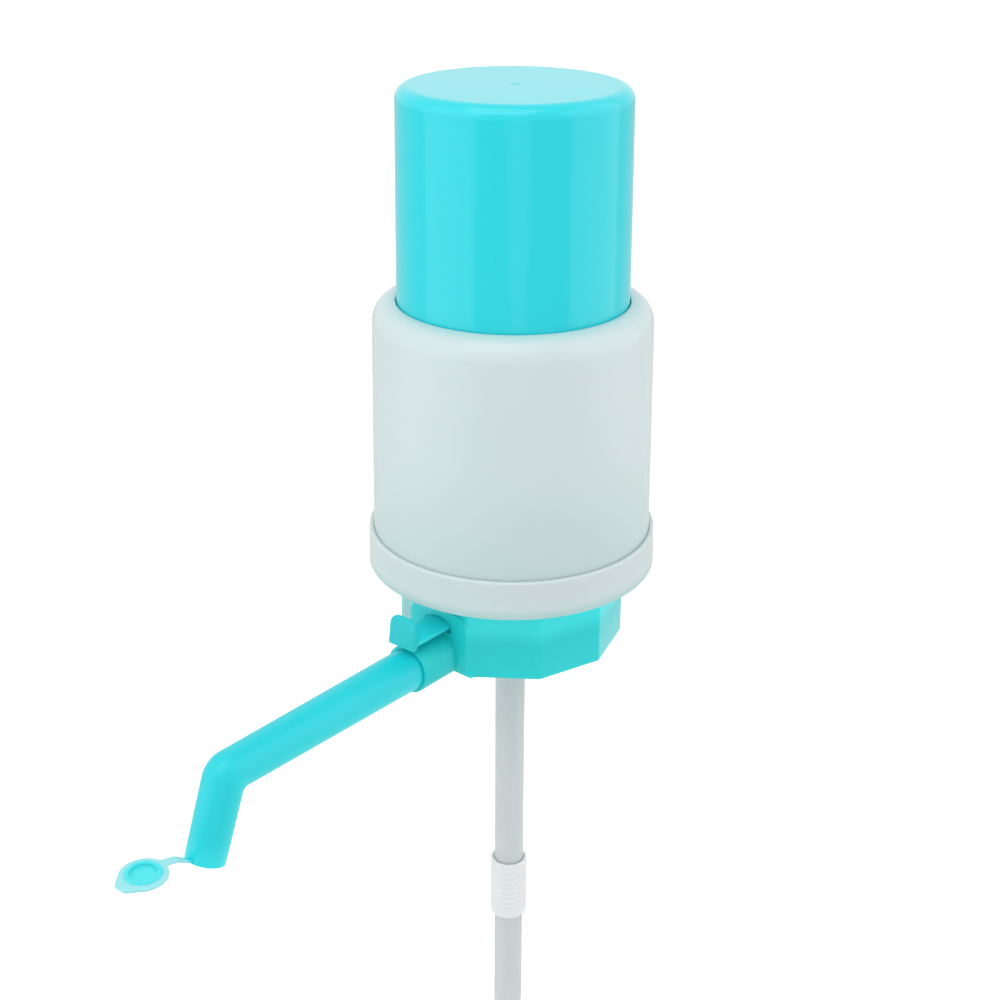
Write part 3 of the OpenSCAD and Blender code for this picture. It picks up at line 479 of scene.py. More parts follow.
def finish_of(key):
    """Finish for a piece, made when it is first asked for."""
    colours, sizes = bpy.context.scene.pump_colours, bpy.context.scene.pump_sizes
    c = {name: tuple(getattr(colours, name)) for name in settings_of(colours)}
    recipes = {
        "cap": lambda: glossy_moulding("cap_turquoise", c["turquoise"], 0.14),
        "spout": lambda: spout_moulding(
            "spout_turquoise", c["turquoise"], c["elbow"], c["tip"], sizes.spout_drop),
        "lever": lambda: lever_moulding("lever_turquoise", c["lever"], c["lever_bar"]),
        "collar": lambda: collar_moulding("collar_turquoise", c["collar"], c["collar_glow"]),
        "sleeve": lambda: milky_wall(
            "sleeve_milk", c["milk"], c["milk_foot"], c["milk_mouth"], c["milk_foot"]),
        "ring": lambda: milky_wall(
            "ring_milk", c["ring"], c["ring_foot"], c["ring"], c["ring_edge"], 0.33),
        "pale": lambda: soft_cap(
            "spout_cap_soft", c["pale"], c["pale_core"], c["pale_cloud"],
            high("spout_cap").y - 0.01175),
        "strap": lambda: strap_root_finish("strap_soft", c["pale"], c["turquoise"]),
        "film": lambda: soft_moulding("bellows_film", c["film"], 0.42, 0.5),
        "white": lambda: soft_moulding("white_moulding", c["white"], 0.3, 0.2),
        "silicone": lambda: soft_moulding("silicone", c["silicone"], 0.46, 0.6, 0.15),
        "steel": lambda: bright_steel("turned_steel", c["steel"]),
        "rubber": lambda: black_ring_rubber("ring_rubber", c["rubber"]),
        "tube": lambda: drawn_tube("drawn_tube", c["tube"], 0.35),
    }
    if key not in FINISHES:
        FINISHES[key] = recipes[key]()
    return FINISHES[key]


# Mesh making


def arc(x, z, radius, start, end, steps=10):
    """Profile points of an arc about (x, z), angles in degrees."""
    turns = [radians(start + (end - start) * i / steps) for i in range(steps + 1)]
    return [(x + radius * cos(a), z + radius * sin(a)) for a in turns]


def bridge(mesh, a, b):
    """Faces between two rings of vertices; a ring of one vertex is a pole."""
    for i in range(max(len(a), len(b))):
        j = i + 1
        corners = (a[i % len(a)], b[i % len(b)], b[j % len(b)], a[j % len(a)])
        corners = list(dict.fromkeys(corners))
        if len(corners) > 2:
            mesh.faces.new(corners)


def braced(profile, reach=0.0003, least=0.002):
    """Profile with a point near each end of its long runs, which keeps their shading even."""
    points = []
    for a, b in zip(profile, profile[1:] + profile[:1]):
        points.append(a)
        run = hypot(b[0] - a[0], b[1] - a[1])
        if run > least and max(a[0], b[0]) > ON_AXIS:
            for share in (reach / run, 1 - reach / run):
                points.append(tuple(p + (q - p) * share for p, q in zip(a, b)))
    return points


def turned(profile, segments):
    """Closed profile of radius and height, turned about Z."""
    mesh = bmesh.new()
    rings = []
    for r, z in braced(profile):
        around = segments if r > ON_AXIS else 1
        turns = [2 * pi * i / segments for i in range(around)]
        rings.append([mesh.verts.new((r * cos(a), r * sin(a), z)) for a in turns])
    for a, b in zip(rings, rings[1:] + rings[:1]):
        if len(a) > 1 or len(b) > 1:
            bridge(mesh, a, b)
    return mesh


def shade(obj, degrees=34):
    """Smooth faces with sharp edges where the surface turns by more than an angle."""
    obj.data.shade_smooth()
    obj.data.set_sharp_from_angle(angle=radians(degrees))


def new_object(name, mesh, material):
    """Object from a bmesh, which is used up."""
    data = bpy.data.meshes.new(name)
    mesh.to_mesh(data)
    mesh.free()
    data.materials.append(material)
    obj = bpy.data.objects.new(name, data)
    bpy.context.scene.collection.objects.link(obj)
    return obj


def new_piece(name, mesh, finish):
    """Object from a bmesh whose faces are turned outwards."""
    bmesh.ops.recalc_face_normals(mesh, faces=mesh.faces)
    return new_object(name, mesh, finish_of(finish))


def solid_copy(name, node, finish, merge=2e-6):
    """Merged copy of a CAD node."""
    mesh = bmesh.new()
    mesh.from_mesh(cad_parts[node].data)
    bmesh.ops.remove_doubles(mesh, verts=mesh.verts, dist=merge)
    return new_object(name, mesh, finish_of(finish))


def bake(obj):
    """Turns the piece's modifiers into its own mesh."""
    graph = bpy.context.evaluated_depsgraph_get()
    graph.update()
    data = bpy.data.meshes.new_from_object(obj.evaluated_get(graph), depsgraph=graph)
    obj.modifiers.clear()
    obj.data = data


def softened(name, node, finish, voxel, rounds):
    """CAD node with the rounded edges and fillets of a moulding."""
    obj = solid_copy(name, node, finish)
    grid = obj.modifiers.new("Grid", "REMESH")
    grid.mode = "VOXEL"
    grid.voxel_size = voxel
    grid.use_smooth_shade = True
    ease = obj.modifiers.new("Ease", "SMOOTH")
    ease.factor = 0.5
    ease.iterations = rounds
    bake(obj)
    obj.data.shade_smooth()
    return obj


def edged(obj, width, degrees=40):
    """Rounds the piece's hard edges."""
    edge = obj.modifiers.new("Edges", "BEVEL")
    edge.width = width
    edge.segments = 2
    edge.limit_method = "ANGLE"
    edge.angle_limit = radians(degrees)
    edge.miter_outer = "MITER_ARC"
    bake(obj)


def settle(obj, body, node):
    """Puts a finished piece on its body, in place of a CAD node."""
    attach(obj, body)
    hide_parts(node)


def fitted(name, mesh, finish, body, node, degrees=34):
    """New piece, shaded and put on its body in place of a CAD node."""
    obj = new_piece(name, mesh, finish)
    shade(obj, degrees)
    settle(obj, body, node)


def paint(node, finish):
    """Finish for a CAD node that stays."""
    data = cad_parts[node].data
    for i in range(len(data.materials)):
        data.materials[i] = finish_of(finish)


# Geometry node trees


class Shape(Tree):
    """A geometry tree with named inputs; the first is the piece's own geometry."""

    def __init__(self, name, sizes):
        self.group = bpy.data.node_groups.new(name, "GeometryNodeTree")
        super().__init__(self.group)
        self.sizes = sizes
        self.sockets = {}
        face = self.group.interface
        kinds = {float: "NodeSocketFloat", int: "NodeSocketInt"}
        wanted = {"Geometry": "NodeSocketGeometry",
                  **{key: kinds[type(value)] for key, value in sizes.items()},
                  "Finish": "NodeSocketMaterial"}
        for key, kind in wanted.items():
            self.sockets[key] = face.new_socket(
                name=key, in_out="INPUT", socket_type=kind).identifier
        face.new_socket(name="Geometry", in_out="OUTPUT", socket_type="NodeSocketGeometry")
        self.entry = self.nodes.new("NodeGroupInput")

    def given(self, key):
        return Value(self, self.entry.outputs[key])

    def vector(self, x=0.0, y=0.0, z=0.0):
        return self.node("ShaderNodeCombineXYZ", None, {0: x, 1: y, 2: z})

    def finish_tree(self, geometry):
        real = self.node("GeometryNodeRealizeInstances", None, {0: geometry})
        coated = self.node(
            "GeometryNodeSetMaterial", None,
            {"Geometry": real, "Material": self.given("Finish")})
        self.make("NodeGroupOutput", None, {0: coated})

    def run(self, obj, finish):
        """Runs the tree on an object and keeps the plain mesh with one finish."""
        modifier = obj.modifiers.new(self.group.name, "NODES")
        modifier.node_group = self.group
        for key, value in self.sizes.items():
            modifier[self.sockets[key]] = value
        modifier[self.sockets["Finish"]] = finish_of(finish)
        bake(obj)
        obj.data.materials.clear()
        obj.data.materials.append(finish_of(finish))
        obj.data.polygons.foreach_set("material_index", [0] * len(obj.data.polygons))


def copies_round_axis(obj, count, finish):
    """Turns one part into copies of it, evenly round the neck's axis."""
    g = Shape("round_the_axis", {"Count": count})
    points = g.node(
        "GeometryNodeMeshLine", None, {"Count": g.given("Count"), "Offset": (0, 0, 0)})
    turn = g.node("GeometryNodeInputIndex") * (2 * pi) / g.given("Count")
    g.finish_tree(g.node(
        "GeometryNodeInstanceOnPoints", None,
        {"Points": points, "Instance": g.given("Geometry"), "Rotation": g.vector(z=turn)}))
    g.run(obj, finish)


# Pieces


class PUMP_OT_push_cap(bpy.types.Operator):
    """Tall push cap with its flare, roof ribs and gate mark"""

    bl_idname = "pump.push_cap"
    bl_label = "Push cap"

    def execute(self, context):
        s = context.scene.pump_sizes
        lo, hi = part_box("push_cap")
        top, foot, flare = hi.z, lo.z, hi.x
        r, edge, wall, neck = s.cap_radius, s.cap_edge, s.cap_wall, s.cap_foot
        roof = top - 0.0022
        rim, gate, gate_depth = 0.0003, 0.0013, 0.00008
        shoulder_x = s.opening + SHOULDER_GAP
        shoulder_z = high("outer_sleeve").z - s.shoulder
        bell, bend = flare - shoulder_x, edge - wall
        outer = [(flare - rim, foot), (flare, foot + rim)]
        outer += arc(shoulder_x, shoulder_z, bell, 0, 90, 14)
        outer += [(neck, shoulder_z + bell)]
        outer += arc(r - edge, top - edge, edge, 0, 90, 16)
        outer += [(gate + 0.0002, top), (gate, top - gate_depth), (0, top - gate_depth)]
        inner = [(0, roof)]
        inner += arc(r - wall - bend, roof - bend, bend, 90, 0, 10)
        inner += [(neck - wall, shoulder_z + bell - wall)]
        inner += arc(shoulder_x, shoulder_z, bell - wall, 90, 0, 12)
        inner += [(flare - wall, foot + rim), (flare - wall + rim, foot)]
        shell = new_piece("push_cap_shell", turned(outer + inner, 192), "cap")
        ribs = new_piece("push_cap_ribs", self.rib(roof), "cap")
        edged(ribs, 0.0002)
        copies_round_axis(ribs, s.cap_ribs, "cap")
        for obj in (shell, ribs):
            shade(obj)
            settle(obj, "plunger", "push_cap")
        return {"FINISHED"}

    @staticmethod
    def rib(roof):
        """Rib that widens into the roof, with its draft."""
        plate_top, reach = high("bellows_plate").z, high("bellows_plate").x
        root = roof + 0.0006
        corners = [(0.005, plate_top, 0.0007), (reach, plate_top, 0.0007),
                   (reach + 0.0012, root, 0.0010), (0.0042, root, 0.0010)]
        mesh = bmesh.new()
        sides = [[mesh.verts.new((x, side * half, z)) for x, z, half in corners]
                 for side in (-1, 1)]
        bridge(mesh, *sides)
        for side in sides:
            mesh.faces.new(side)
        return mesh


class PUMP_OT_housing(bpy.types.Operator):
    """Milky sleeve with its rounded shoulder, and the base ring it stands in"""

    bl_idname = "pump.housing"
    bl_label = "Sleeve and base ring"

    def execute(self, context):
        s = context.scene.pump_sizes
        lo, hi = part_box("outer_sleeve")
        foot, top, foot_r = lo.z, hi.z, hi.x
        centre = s.opening + SHOULDER_GAP
        shoulder_z = top - s.shoulder
        lip, chamfer, mouth = 0.0005, 0.0002, s.opening - 0.00022
        profile = [(foot_r - s.sleeve_wall + chamfer, foot), (foot_r - chamfer, foot)]
        profile += [(foot_r, foot + chamfer)]
        profile += arc(centre, shoulder_z, s.shoulder, 0, 84, 24)
        profile += arc(mouth + lip, top - lip, lip, 84, 180, 6)
        profile += arc(mouth + lip, top - s.sleeve_wall + lip, lip, 180, 260, 6)
        profile += arc(centre, shoulder_z, s.shoulder - s.sleeve_wall, 88, 0, 16)
        fitted("sleeve_wall", turned(profile, 192), "sleeve",
               "base", "outer_sleeve")

        lo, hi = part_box("base_ring")
        r, e, hole = hi.x, s.ring_edge, 0.0296
        well, draft = r - 0.0017, 0.00025
        step, rim = well - 0.0004, foot - 0.0022
        bead, half, rise = (foot + hi.z) / 2, 0.0005, 0.0002
        profile = [(hole, rim), (well - 0.0012, rim), (step, rim - 0.0008),
                   (step, lo.z + 0.0003), (well - 0.0001, lo.z)]
        profile += arc(r - e, lo.z + e, e, -90, 0, 6)
        profile += arc(r - draft - e, hi.z - e, e, 0, 90, 6)
        leans = (foot_r - centre - s.shoulder) * (hi.z - foot) / (shoulder_z - foot)
        near, top_edge = foot_r - leans + 0.00006, 0.0003
        profile += arc(near + top_edge, hi.z - top_edge, top_edge, 90, 180, 4)
        profile += [(near, bead + 0.0012), (well, bead + half), (well - rise, bead),
                    (well, bead - half), (well, foot), (hole, foot)]
        fitted("ring_wall", turned(profile, 192), "ring",
               "base", "base_ring")
        return {"FINISHED"}


class PUMP_OT_collar(bpy.types.Operator):
    """Ten sided collar with its raised block and socket"""

    bl_idname = "pump.collar"
    bl_label = "Collar"

    def execute(self, context):
        collar = solid_copy("collar_body", "base_collar", "collar")
        self.crisp_foot(collar.data)
        edged(collar, 0.00025, 30)
        shade(collar, 30)
        settle(collar, "base", "base_collar")
        for name, mesh in (("lever_window", self.lintel()), ("pin_stakes", self.stakes())):
            fitted(name, mesh, "collar", "base", "base_collar")
        return {"FINISHED"}

    @staticmethod
    def crisp_foot(data):
        """Takes the bevel round the collar's foot down to a small one."""
        foot, apothem, side = -0.023, 0.03576, 2 * pi / 10
        bevel, small = 0.0008, 0.0002
        level, flat = 0.00005, 0.00012
        for vert in data.vertices:
            x, y, z = vert.co
            bearing = round(atan2(-x, -y) / side) * side
            off = -x * sin(bearing) - y * cos(bearing)
            if abs(z - foot) < level and abs(off - apothem + bevel) < flat:
                grow = (apothem - small) / off
                vert.co.x, vert.co.y = x * grow, y * grow
            elif abs(z - foot - bevel) < level and abs(off - apothem) < flat:
                vert.co.z = foot + small

    @staticmethod
    def stakes():
        """Plastic staked into both ends of the pin's bore, flush with the block's sides."""
        wall_x, wall_y, slope, inside = 0.01228, 0.03641, 0.459, 0.0118
        front, middle, back = 0.03650, 0.03560, 0.03480
        mesh = bmesh.new()
        for side in (-1, 1):
            rows = []
            for z, lean in ((-0.0050, -0.00014), (-0.0071, 0.00003)):
                outline = [(wall_x + slope * (wall_y - y) + lean, y)
                           for y in (front, middle, back)]
                outline += [(inside, back), (inside, front)]
                rows.append([mesh.verts.new((side * x, -y, z)) for x, y in outline])
            bridge(mesh, *rows)
            for row in rows:
                mesh.faces.new(row)
        return mesh

    @staticmethod
    def lintel():
        """Arch over the lever's bar in the block's window."""
        half, top, crown, bend = 0.0057, -0.0037, -0.0042, 0.0103
        inside, outside, steps = 0.0364, 0.03705, 14
        outline = [(-half, top)]
        for i in range(steps + 1):
            x = -half + 2 * half * i / steps
            outline.append((x, crown - bend + sqrt(bend * bend - x * x)))
        outline.append((half, top))
        mesh = bmesh.new()
        faces = [[mesh.verts.new((x, -y, z)) for x, z in outline] for y in (inside, outside)]
        bridge(mesh, *faces)
        for face in faces:
            mesh.faces.new(face)
        return mesh


class PUMP_OT_release_lever(bpy.types.Operator):
    """Release lever with its pin, spring and plug"""

    bl_idname = "pump.release_lever"
    bl_label = "Release lever"

    def execute(self, context):
        s = context.scene.pump_sizes
        voxel, rounds = 0.00013, 6
        lever = softened("lever_arm", "release_lever", "lever", voxel, rounds)
        settle(lever, "lever", "release_lever")
        paint("lever_pin", "steel")
        paint("release_plug", "silicone")

        lo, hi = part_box("lever_spring")
        centre, wire = (lo + hi) / 2, s.coil_wire
        spring = new_piece("lever_coil", bmesh.new(), "steel")
        self.coil({
            "Turns": s.coil_turns, "Coil radius": hi.x - wire, "Wire radius": wire,
            "Length": hi.z - lo.z - 2 * wire, "Bottom": lo.z + wire,
            "Place": centre.y}).run(spring, "steel")
        settle(spring, "base", "lever_spring")
        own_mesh(spring)
        return {"FINISHED"}

    @staticmethod
    def coil(sizes):
        """Tree of a coil spring whose end turns lie closer together."""
        g = Shape("coil", sizes)
        path = g.node(
            "GeometryNodeCurveSpiral", None,
            {"Resolution": 24, "Rotations": g.given("Turns"),
             "Start Radius": g.given("Coil radius"), "End Radius": g.given("Coil radius"),
             "Height": g.given("Length")})
        share = g.node("GeometryNodeSplineParameter", out="Factor")
        steady = share * 0.72 + g.between(share, 0.04, 0.96) * 0.28
        spot = g.node("GeometryNodeInputPosition")
        bent = g.node(
            "GeometryNodeSetPosition", None,
            {"Geometry": path, "Position": g.vector(
                g.part(spot, "X"), g.part(spot, "Y") + g.given("Place"),
                g.given("Bottom") + steady * g.given("Length"))})
        profile = g.node(
            "GeometryNodeCurvePrimitiveCircle", None,
            {"Resolution": 12, "Radius": g.given("Wire radius")})
        wired = g.node(
            "GeometryNodeCurveToMesh", None,
            {"Curve": bent, "Profile Curve": profile, "Fill Caps": True})
        g.finish_tree(g.node(
            "GeometryNodeSetShadeSmooth", None, {"Geometry": wired, "Shade Smooth": True}))
        return g


class PUMP_OT_spout(bpy.types.Operator):
    """Spout that follows its bent path, with the strap's root and the O-ring"""

    bl_idname = "pump.spout"
    bl_label = "Spout"

    def execute(self, context):
        s = context.scene.pump_sizes
        drop, bore, narrow = s.spout_drop, s.spout_bore, 0.0042
        tip_l, clear, bend_r = 0.0266, 0.0078, 0.0063
        # Distance along the leg, then radius: spigot and its groove, collar, tapering tube.
        run = [(0.0352, narrow), (0.03522, 0.0059), (0.0355, 0.0062), (0.0390, 0.0062),
               (0.03902, 0.00508), (0.0402, 0.00508), (0.04022, 0.0062), (0.05196, 0.0062),
               (0.05198, 0.00676), (0.05210, 0.0069), (0.0524, 0.00695), (0.0700, 0.00679),
               (0.0900, 0.00662), (SPOUT_CORNER - clear, 0.00634)]
        tip = [(clear, 0.00628), (tip_l - 0.0003, 0.0061), (tip_l - 0.0001, 0.00605),
               (tip_l, 0.0059)]
        mesh = bmesh.new()
        outside = self.rings(mesh, s, run, tip, bend_r)
        inside = self.rings(
            mesh, s, [(0.0515, narrow), (0.0521, bore), (SPOUT_CORNER - clear, bore)],
            [(clear, bore), (tip_l, bore)], bore)
        rings = outside + inside[::-1]
        for a, b in zip(rings, rings[1:] + rings[:1]):
            bridge(mesh, a, b)
        fitted("spout_body", mesh, "spout", "spout", "spout_tube")
        end = Vector((0, -SPOUT_CORNER - tip_l * cos(drop), SPOUT_AXIS - tip_l * sin(drop)))
        fitted("strap_root", self.stub(end, drop), "strap", "spout",
               "spout_tube", 50)
        paint("spout_o_ring", "rubber")
        return {"FINISHED"}

    @staticmethod
    def rings(mesh, s, run, tip, bend_r, sides=96, steps=24):
        """Rings of vertices along the spout; each line bends on a radius of its own, which is
        large on the elbow's outer side and small on its inner side."""
        drop = s.spout_drop
        half = tan(drop / 2)
        rows = [("run", at, r) for at, r in run]
        rows += [("bend", i / steps, bend_r) for i in range(steps + 1)]
        rows += [("tip", at, r) for at, r in tip]
        made = []
        for leg, at, r in rows:
            ring = []
            for k in range(sides):
                a = 2 * pi * k / sides
                up = r * cos(a)
                bend = s.inner_bend + (s.outer_bend - s.inner_bend) * (1 + cos(a)) / 2
                if leg == "run":
                    y, z = at, up
                else:
                    turn = drop * (at if leg == "bend" else 1)
                    y = SPOUT_CORNER + (up - bend) * half + bend * sin(turn)
                    z = up - bend * (1 - cos(turn))
                if leg == "tip":
                    more = at - (bend - up) * half
                    y, z = y + more * cos(drop), z - more * sin(drop)
                ring.append(mesh.verts.new((r * sin(a), -y, SPOUT_AXIS + z)))
            made.append(ring)
        return made

    @staticmethod
    def stub(end, drop):
        """Flat lug that the cap's strap grows from, in the tip's frame: Z runs back up the
        tip, and minus Y points outwards."""
        tip = Matrix.Translation(end) @ Matrix.Rotation(drop - pi / 2, 4, "X")
        inside, reach, up, thick, half, edge = 0.0054, 0.0114, 0.00137, 0.001, 0.0014, 0.00015
        outline = [Vector(p) for p in (
            (inside, 0.00035), (0.0080, 0.00072), (0.0100, 0.00105), (reach - 0.0001, up),
            (reach - 0.0003, up + thick), (0.0090, 0.00175), (0.0070, 0.00130),
            (inside, 0.00105))]
        mid = sum(outline, Vector((0, 0))) / len(outline)
        mesh = bmesh.new()
        rings = []
        for x, inset in ((-half, edge), (edge - half, 0), (half - edge, 0), (half, edge)):
            ring = []
            for point in outline:
                p = point + (mid - point).normalized() * inset
                ring.append(mesh.verts.new(tip @ Vector((x, -p.x, p.y))))
            rings.append(ring)
        for a, b in zip(rings, rings[1:]):
            bridge(mesh, a, b)
        mesh.faces.new(rings[0])
        mesh.faces.new(rings[-1])
        return mesh


class PUMP_OT_spout_cap(bpy.types.Operator):
    """Soft cap of the spout with its plug, pull tab and strap"""

    bl_idname = "pump.spout_cap"
    bl_label = "Spout cap"

    def execute(self, context):
        voxel, rounds = 0.00011, 4
        cap = softened("cap_of_spout", "spout_cap", "pale", voxel, rounds)
        settle(cap, "cap", "spout_cap")
        return {"FINISHED"}


class PUMP_OT_bellows(bpy.types.Operator):
    """Bellows from the rule of its folds, with its clamp and top plate"""

    bl_idname = "pump.bellows"
    bl_label = "Bellows"

    def execute(self, context):
        s = context.scene.pump_sizes
        plate = low("bellows_plate").z
        start = high("base_collar").z + 0.0006
        wall = new_piece("bellows_folds", bmesh.new(), "film")
        self.folded({
            "Folds": s.folds, "Crest radius": high("bellows").x, "Depth": s.fold_depth,
            "Bottom": start, "Top": plate, "Steps": 16, "Sides": 128}).run(wall, "film")
        self.ends(wall, start, plate, s.film)
        skin = wall.modifiers.new("Film", "SOLIDIFY")
        skin.thickness = s.film
        skin.offset = -1
        bake(wall)
        shade(wall, 50)
        settle(wall, "base", "bellows")
        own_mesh(wall)

        lo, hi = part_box("bellows_clamp")
        hole, r, lip = 0.03025, hi.x, 0.0004
        low_half = [(hole, 0), (r - lip, 0), (r, lip), (r, 0.0014), (r - lip, 0.0018)]
        band = [(x, lo.z + z) for x, z in low_half] + [(x, hi.z - z) for x, z in low_half[::-1]]
        fitted("bellows_band", turned(band, 128), "white", "base",
               "bellows_clamp")
        paint("bellows_plate", "white")
        return {"FINISHED"}

    @staticmethod
    def folded(sizes):
        """Tree of the folded wall: a grid rolled up, with rounded crests and roots."""
        g = Shape("folded_wall", sizes)
        grid = g.node(
            "GeometryNodeMeshGrid", None,
            {"Size X": 1.0, "Size Y": 1.0, "Vertices X": g.given("Sides") + 1,
             "Vertices Y": g.given("Folds") * g.given("Steps") + 1})
        spot = g.node("GeometryNodeInputPosition")
        around = g.part(spot, "X") * (2 * pi)
        up = g.part(spot, "Y") + 0.5
        wave = (up * g.given("Folds") * (2 * pi)).calc("COSINE")
        fold = 0.5 - wave.calc("ABSOLUTE") ** 0.72 * wave.calc("SIGN") * 0.5
        radius = g.given("Crest radius") - g.given("Depth") * (1 - fold)
        z = g.given("Bottom") + up * (g.given("Top") - g.given("Bottom"))
        rolled = g.node(
            "GeometryNodeSetPosition", None,
            {"Geometry": grid, "Position": g.vector(
                around.calc("COSINE") * radius, around.calc("SINE") * radius, z)})
        g.finish_tree(g.node(
            "GeometryNodeMergeByDistance", None, {"Geometry": rolled, "Distance": 0.00001}))
        return g

    @staticmethod
    def ends(wall, start, plate, film):
        """Adds the cuff below the folds and the flat top, as one skin facing outwards."""
        mesh = bmesh.new()
        mesh.from_mesh(wall.data)
        rim = sorted({round(v.co.z, 6) for v in mesh.verts})
        cuff, flat = 0.02905 + film, 0.0200
        for end, far in ((rim[0], [(cuff, start - 0.0003), (cuff, BELLOWS_FOOT)]),
                         (rim[-1], [(flat, plate)])):
            ring = [v for v in mesh.verts if abs(v.co.z - end) < 1e-6]
            ring.sort(key=lambda v: atan2(v.co.y, v.co.x))
            turns = [atan2(v.co.y, v.co.x) for v in ring]
            for r, z in far:
                following = [mesh.verts.new((r * cos(a), r * sin(a), z)) for a in turns]
                bridge(mesh, ring, following)
                ring = following
        bmesh.ops.recalc_face_normals(mesh, faces=mesh.faces)
        outer = max(mesh.faces, key=lambda f: f.calc_center_median().xy.length)
        if outer.normal.xy.dot(outer.calc_center_median().xy) < 0:
            bmesh.ops.reverse_faces(mesh, faces=mesh.faces)
        mesh.to_mesh(wall.data)
        mesh.free()


class PUMP_OT_valves(bpy.types.Operator):
    """Loose valves and the neck's gasket"""

    bl_idname = "pump.valves"
    bl_label = "Valves and gasket"

    def execute(self, context):
        for node in ("intake_valve", "delivery_valve"):
            paint(node, "silicone")
        lo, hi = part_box("neck_gasket")
        inner, r, c = 0.0215, hi.x, 0.0005
        profile = []
        for x, z, turn in ((inner + c, lo.z + c, 180), (r - c, lo.z + c, 270),
                           (r - c, hi.z - c, 0), (inner + c, hi.z - c, 90)):
            profile += arc(x, z, c, turn, turn + 90, 4)
        fitted("gasket_ring", turned(profile, 128), "silicone", "base",
               "neck_gasket")
        return {"FINISHED"}


class PUMP_OT_dip_tube(bpy.types.Operator):
    """Two drawn tube sections and the coupler between them"""

    bl_idname = "pump.dip_tube"
    bl_label = "Dip tube"

    def execute(self, context):
        bore, c = 0.004, 0.0002
        for node in ("dip_tube_upper", "dip_tube_lower"):
            lo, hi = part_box(node)
            r = hi.x
            profile = [(bore + c, lo.z), (r - c, lo.z), (r, lo.z + c), (r, hi.z - c),
                       (r - c, hi.z), (bore + c, hi.z), (bore, hi.z - c), (bore, lo.z + c)]
            fitted(node + "_wall", turned(profile, 64), "tube", "base",
                   node)
        lo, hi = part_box("tube_coupler")
        mid, r, bore, c = (lo.z + hi.z) / 2, hi.x, 0.00525, 0.0004
        stop, stop_half = 0.0043, 0.0008
        groove, pitch, plain = r - 0.0003, 0.0022, 0.0078
        profile = [(bore + c, lo.z), (r - c, lo.z), (r, lo.z + c), (r, mid - plain),
                   (groove, mid - plain + 0.0003)]
        for k in range(-3, 4):
            z = mid + k * pitch
            profile += [(groove, z - 0.0007), (r, z - 0.0004), (r, z + 0.0004),
                        (groove, z + 0.0007)]
        profile += [(groove, mid + plain - 0.0003), (r, mid + plain), (r, hi.z - c),
                    (r - c, hi.z), (bore + c, hi.z), (bore, hi.z - c)]
        profile += [(bore, mid + stop_half), (stop, mid + stop_half),
                    (stop, mid - stop_half), (bore, mid - stop_half), (bore, lo.z + c)]
        fitted("coupler_wall", turned(profile, 64), "white", "base",
               "tube_coupler")
        return {"FINISHED"}


class PUMP_OT_screws(bpy.types.Operator):
    """Pan head screws that hold the collar to the base ring"""

    bl_idname = "pump.screws"
    bl_label = "Screws"

    def execute(self, context):
        paint("base_screws", "steel")
        return {"FINISHED"}


# Stage


def studio_camera(context):
    """Camera of the picture: spot and angles in a frame turned about the neck's axis."""
    turn, down, roll = radians(39.24), radians(24.3491), radians(0.264233)
    side = radians(-0.452318)
    focal, picture, film = 1610.477, 1000, 36  # pixels, pixels, millimetres
    ahead = Vector((sin(side) * cos(down), cos(side) * cos(down), -sin(down)))
    right = Vector((cos(side), -sin(side), 0))
    above = right.cross(ahead)
    x = right * cos(roll) + above * sin(roll)
    y = above * cos(roll) - right * sin(roll)
    basis = Matrix((x, y, -ahead)).transposed().to_4x4()
    spin = Matrix.Rotation(turn, 4, "Z")
    spot = spin @ Vector((0, -0.486486, 0.239750)) + Vector((0, 0, 0.0046))
    data = bpy.data.cameras.new("camera")
    data.lens = focal * film / picture
    data.sensor_width = film
    data.clip_start, data.clip_end = 0.01, 60
    camera = bpy.data.objects.new("camera", data)
    camera.matrix_world = Matrix.Translation(spot) @ spin @ basis
    context.scene.collection.objects.link(camera)
    context.scene.camera = camera


def softbox(context, name, shape, bearing, distance, size, z, power):
    """Area light aimed at the neck's axis. Its bearing is in degrees from minus Y, and the
    camera doesn't see it."""
    a, highest_aim = radians(bearing), 0.12
    data = bpy.data.lights.new(name, "AREA")
    data.shape = shape
    data.size, data.size_y = size
    data.energy = power
    light = bpy.data.objects.new(name, data)
    spot = Vector((sin(a) * distance, -cos(a) * distance, z))
    light.location = spot
    aim = Vector((0, 0, min(z, highest_aim))) - spot
    light.rotation_euler = aim.to_track_quat("-Z", "Y").to_euler()
    light.visible_camera = False
    context.scene.collection.objects.link(light)


# Name, shape, bearing, distance, size, height and power.
LIGHTS = (("left_box", "RECTANGLE", -25, 0.85, (0.96, 1.6), 0.30, 3.2),
          ("right_box", "RECTANGLE", 124, 0.85, (1.1, 1.6), 0.30, 3.6),
          ("front_box", "ELLIPSE", 43.6, 0.85, (0.34, 0.36), 0.0, 0.12),
          ("top_box", "RECTANGLE", 20, 0.5, (1.0, 1.0), 1.1, 4.0))


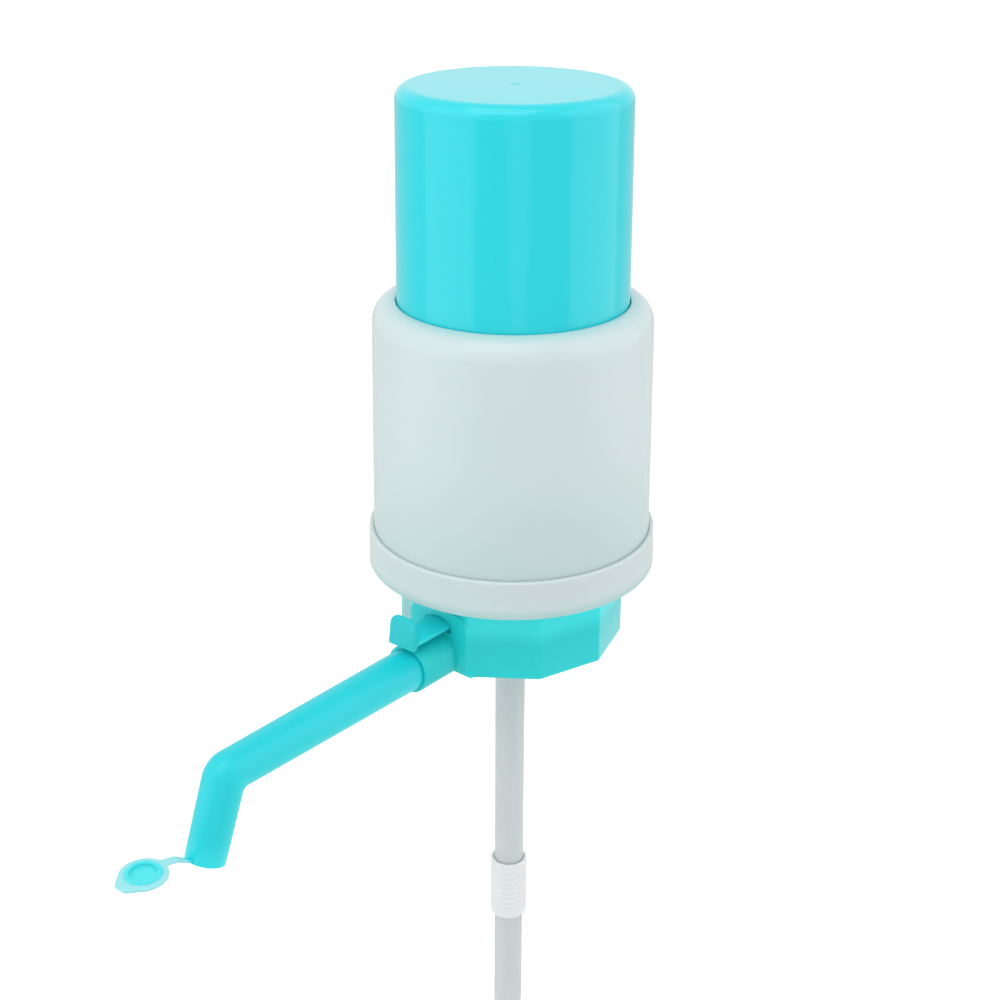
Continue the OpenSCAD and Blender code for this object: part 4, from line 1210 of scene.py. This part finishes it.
class PUMP_OT_stage(bpy.types.Operator):
    """Pale floor, soft studio light and the camera"""

    bl_idname = "pump.stage"
    bl_label = "Stage"

    def execute(self, context):
        scene = context.scene
        scene.view_settings.view_transform = "Standard"
        world = bpy.data.worlds.new("studio")
        world.use_nodes = True
        scene.world = world
        w = Tree(world.node_tree)
        camera, glossy, through = [
            w.node("ShaderNodeLightPath", out="Is " + ray + " Ray")
            for ray in ("Camera", "Glossy", "Transmission")]
        seen = camera.calc("MAXIMUM", glossy).calc("MAXIMUM", through)
        glow = w.node("ShaderNodeBackground", None, {
            "Color": (1, 1, 1, 1), "Strength": spread(seen, 0.70, 1.0)})
        w.make("ShaderNodeOutputWorld", None, {0: glow})

        f = Finish("floor_paper")
        lit = f.node("ShaderNodeLightPath", out="Is Camera Ray") * 0.46
        shader = f.node("ShaderNodeBsdfPrincipled", None, {
            "Base Color": f.mix(f.noise(60, 2), (0.86, 0.86, 0.86), (0.88, 0.88, 0.88)),
            "Roughness": 0.9, "Emission Color": (1, 1, 1, 1), "Emission Strength": lit})
        f.make("ShaderNodeOutputMaterial", None, {0: shader})
        gap, reach = 0.0002, 6
        mesh = bmesh.new()
        bmesh.ops.create_grid(mesh, x_segments=2, y_segments=2, size=reach)
        bmesh.ops.translate(mesh, verts=mesh.verts, vec=(0, 0, CAD_BOX[0].z - gap))
        floor = new_object("floor", mesh, f.material)

        for light in LIGHTS:
            softbox(context, *light)
        studio_camera(context)
        return {"FINISHED"}


# Panel and registration

PIECES = ("push_cap", "housing", "collar", "release_lever", "spout", "spout_cap", "bellows",
          "valves", "dip_tube", "screws", "stage")


class PUMP_PT_panel(bpy.types.Panel):
    """Buttons for the pump's pieces and its stage"""

    bl_label = "Pump"
    bl_space_type = "VIEW_3D"
    bl_region_type = "UI"
    bl_category = "Pump"

    def draw(self, context):
        column = self.layout.column()
        for group in (context.scene.pump_sizes, context.scene.pump_colours):
            for key in settings_of(group):
                column.prop(group, key)
        for piece in PIECES:
            column.operator("pump." + piece)


CLASSES = (PumpSizes, PumpColours, PUMP_OT_push_cap, PUMP_OT_housing, PUMP_OT_collar,
           PUMP_OT_release_lever, PUMP_OT_spout, PUMP_OT_spout_cap, PUMP_OT_bellows,
           PUMP_OT_valves, PUMP_OT_dip_tube, PUMP_OT_screws, PUMP_OT_stage, PUMP_PT_panel)


def register():
    for cls in CLASSES:
        bpy.utils.register_class(cls)
    bpy.types.Scene.pump_sizes = bpy.props.PointerProperty(type=PumpSizes)
    bpy.types.Scene.pump_colours = bpy.props.PointerProperty(type=PumpColours)


def unregister():
    del bpy.types.Scene.pump_colours
    del bpy.types.Scene.pump_sizes
    for cls in reversed(CLASSES):
        bpy.utils.unregister_class(cls)


def main():
    register()
    for piece in PIECES:
        getattr(bpy.ops.pump, piece)()


if __name__ == "__main__":
    main()
